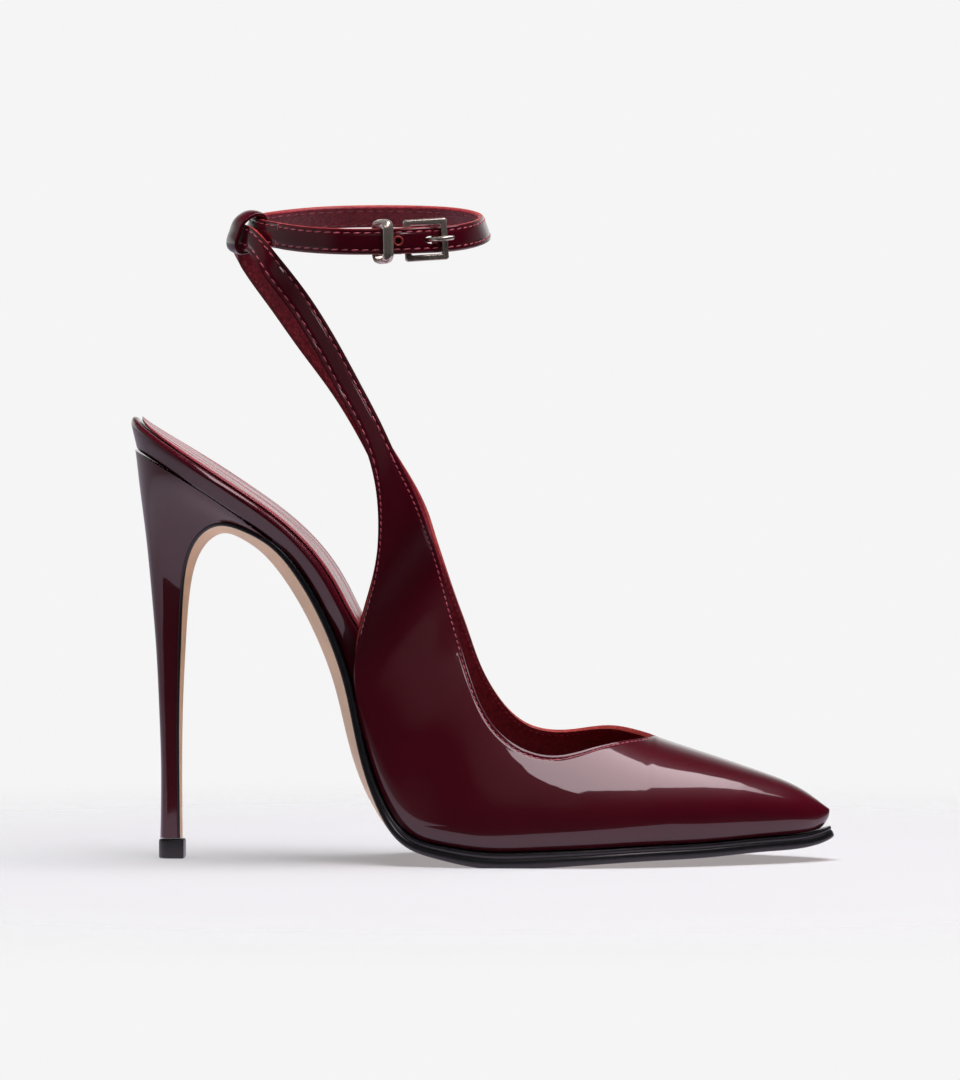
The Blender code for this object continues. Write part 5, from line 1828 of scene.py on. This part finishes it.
def build_studio_world():
    world = bpy.data.worlds.new("pale studio")
    bpy.context.scene.world = world
    world.use_nodes = True
    tree = world.node_tree
    tree.nodes.clear()
    way = add_node(tree, "ShaderNodeTexCoord").outputs["Generated"]
    parts = add_node(tree, "ShaderNodeSeparateXYZ", None, {"Vector": way}).outputs
    front = add_node(tree, "ShaderNodeMath", {"operation": "MULTIPLY"}, {0: parts["Y"]})
    front.inputs[1].default_value = -1.0
    angle = add_node(
        tree, "ShaderNodeMath", {"operation": "ARCTAN2"}, {0: parts["Z"], 1: front.outputs["Value"]}
    )
    share = add_node(
        tree,
        "ShaderNodeMapRange",
        {"From Min": -math.pi, "From Max": math.pi},
        {"Value": angle.outputs["Value"]},
    )
    dome = add_node(tree, "ShaderNodeValToRGB", None, {"Fac": share.outputs["Result"]})
    set_stops(dome.color_ramp, [((degrees + 180) / 360, grey(level)) for degrees, level in STUDIO])
    sideways = add_node(tree, "ShaderNodeMapRange", {"From Min": -1.0}, {"Value": parts["X"]})
    walls = add_node(tree, "ShaderNodeValToRGB", None, {"Fac": sideways.outputs["Result"]})
    set_stops(walls.color_ramp, [((side + 1) / 2, grey(level)) for side, level in WALLS])
    screen = add_node(
        tree,
        "ShaderNodeMapRange",
        {"From Min": SCREEN[0], "From Max": SCREEN[1], "To Min": 1.0, "To Max": SCREEN_LEVEL},
        {"Value": parts["X"]},
    )
    screened = add_node(
        tree,
        "ShaderNodeVectorMath",
        {"operation": "SCALE"},
        {"Vector": dome.outputs["Color"], "Scale": screen.outputs["Result"]},
    )
    brighter = add_node(
        tree,
        "ShaderNodeVectorMath",
        {"operation": "MAXIMUM"},
        {0: screened.outputs["Vector"], 1: walls.outputs["Color"]},
    )
    close = add_node(tree, "ShaderNodeVectorMath", {"operation": "DOT_PRODUCT"}, {0: way})
    close.inputs[1].default_value = Vector(GLOW_FROM).normalized()
    glow = add_node(
        tree,
        "ShaderNodeMapRange",
        {
            "From Min": GLOW_SPREAD[0],
            "From Max": GLOW_SPREAD[1],
            "To Max": GLOW_LEVEL,
            "interpolation_type": "SMOOTHSTEP",
        },
        {"Value": close.outputs["Value"]},
    )
    brightest = add_node(
        tree,
        "ShaderNodeVectorMath",
        {"operation": "MAXIMUM"},
        {0: brighter.outputs["Vector"], 1: glow.outputs["Result"]},
    )
    lit = add_node(tree, "ShaderNodeBackground", None, {"Color": brightest.outputs["Vector"]})
    seen = add_node(tree, "ShaderNodeBackground", {"Color": opaque("#f5f5f5")})
    path = add_node(tree, "ShaderNodeLightPath")
    both = add_node(
        tree,
        "ShaderNodeMixShader",
        None,
        {0: path.outputs["Is Camera Ray"], 1: lit.outputs["Background"], 2: seen.outputs["Background"]},
    )
    add_node(tree, "ShaderNodeOutputWorld", None, {"Surface": both.outputs["Shader"]})


def build_overhead_light():
    light = bpy.data.lights.new("overhead light", "AREA")
    light.shape = "DISK"
    light.size = OVERHEAD_SIZE
    light.energy = OVERHEAD_WATTS
    made = bpy.data.objects.new("overhead light", light)
    made.location = (0.0, 0.0, OVERHEAD_HEIGHT)
    made.visible_glossy = False
    made.visible_camera = False
    bpy.context.scene.collection.objects.link(made)


def build_stage():
    build_floor()
    build_studio_world()
    build_card()
    build_panel()
    build_overhead_light()
    camera = bpy.data.cameras.new("photo camera")
    camera.lens = CAMERA_LENS
    camera.sensor_width = CAMERA_SENSOR
    camera.clip_end = CAMERA_REACH
    made = bpy.data.objects.new("photo camera", camera)
    made.location = CAMERA_PLACE
    made.rotation_euler = (CAMERA_AIM - CAMERA_PLACE).to_track_quat("-Z", "Y").to_euler()
    bpy.context.scene.collection.objects.link(made)
    bpy.context.scene.camera = made
    bpy.context.scene.view_settings.view_transform = "Standard"


# Add-on


class STILETTO_OT_sole(bpy.types.Operator):
    """Build the leather sole with its painted edge"""

    bl_idname = "stiletto.sole"
    bl_label = "Sole"

    def execute(self, context):
        build_outsole()
        return {"FINISHED"}


class STILETTO_OT_heel(bpy.types.Operator):
    """Build the covered heel and its top piece"""

    bl_idname = "stiletto.heel"
    bl_label = "Heel and top piece"

    def execute(self, context):
        build_top_piece(build_heel())
        return {"FINISHED"}


class STILETTO_OT_footbed(bpy.types.Operator):
    """Build the wrapped footbed and the sock on it"""

    bl_idname = "stiletto.footbed"
    bl_label = "Footbed and sock"

    def execute(self, context):
        build_footbed()
        build_sock()
        return {"FINISHED"}


class STILETTO_OT_upper(bpy.types.Operator):
    """Build the lined upper with its wings and side straps"""

    bl_idname = "stiletto.upper"
    bl_label = "Upper"

    def execute(self, context):
        build_upper()
        return {"FINISHED"}


class STILETTO_OT_straps(bpy.types.Operator):
    """Build the ankle strap and the loop at the back"""

    bl_idname = "stiletto.straps"
    bl_label = "Ankle strap and loop"

    def execute(self, context):
        build_ankle_strap()
        build_back_loop()
        return {"FINISHED"}


class STILETTO_OT_buckle(bpy.types.Operator):
    """Build the buckle frame, its prong and the keeper"""

    bl_idname = "stiletto.buckle"
    bl_label = "Buckle and keeper"

    def execute(self, context):
        build_buckle()
        build_prong()
        build_keeper()
        return {"FINISHED"}


class STILETTO_OT_stitches(bpy.types.Operator):
    """Sew the edge rows of the upper and the straps"""

    bl_idname = "stiletto.stitches"
    bl_label = "Stitches"

    def execute(self, context):
        build_stitches()
        return {"FINISHED"}


class STILETTO_OT_stage(bpy.types.Operator):
    """Set up the floor, the studio light and the camera"""

    bl_idname = "stiletto.stage"
    bl_label = "Stage"

    def execute(self, context):
        build_stage()
        return {"FINISHED"}


OPERATORS = (
    STILETTO_OT_sole,
    STILETTO_OT_heel,
    STILETTO_OT_footbed,
    STILETTO_OT_upper,
    STILETTO_OT_straps,
    STILETTO_OT_buckle,
    STILETTO_OT_stitches,
    STILETTO_OT_stage,
)


class STILETTO_PT_panel(bpy.types.Panel):
    """Lists the sizes, the colours and the pieces in the order of their making"""

    bl_idname = "STILETTO_PT_panel"
    bl_label = "Patent stiletto"
    bl_space_type = "VIEW_3D"
    bl_region_type = "UI"
    bl_category = "Stiletto"

    def draw(self, context):
        for group in (context.scene.stiletto_sizes, context.scene.stiletto_colours):
            for name in group.__annotations__:
                self.layout.prop(group, name)
        for operator in OPERATORS:
            self.layout.operator(operator.bl_idname)


CLASSES = (StilettoSizes, StilettoColours, *OPERATORS, STILETTO_PT_panel)


def register():
    for item in CLASSES:
        bpy.utils.register_class(item)
    bpy.types.Scene.stiletto_sizes = PointerProperty(type=StilettoSizes)
    bpy.types.Scene.stiletto_colours = PointerProperty(type=StilettoColours)


def unregister():
    del bpy.types.Scene.stiletto_colours
    del bpy.types.Scene.stiletto_sizes
    for item in reversed(CLASSES):
        bpy.utils.unregister_class(item)


def main():
    register()
    bpy.ops.stiletto.sole()
    bpy.ops.stiletto.heel()
    bpy.ops.stiletto.footbed()
    bpy.ops.stiletto.upper()
    bpy.ops.stiletto.straps()
    bpy.ops.stiletto.buckle()
    bpy.ops.stiletto.stitches()
    bpy.ops.stiletto.stage()


if __name__ == "__main__":
    main()
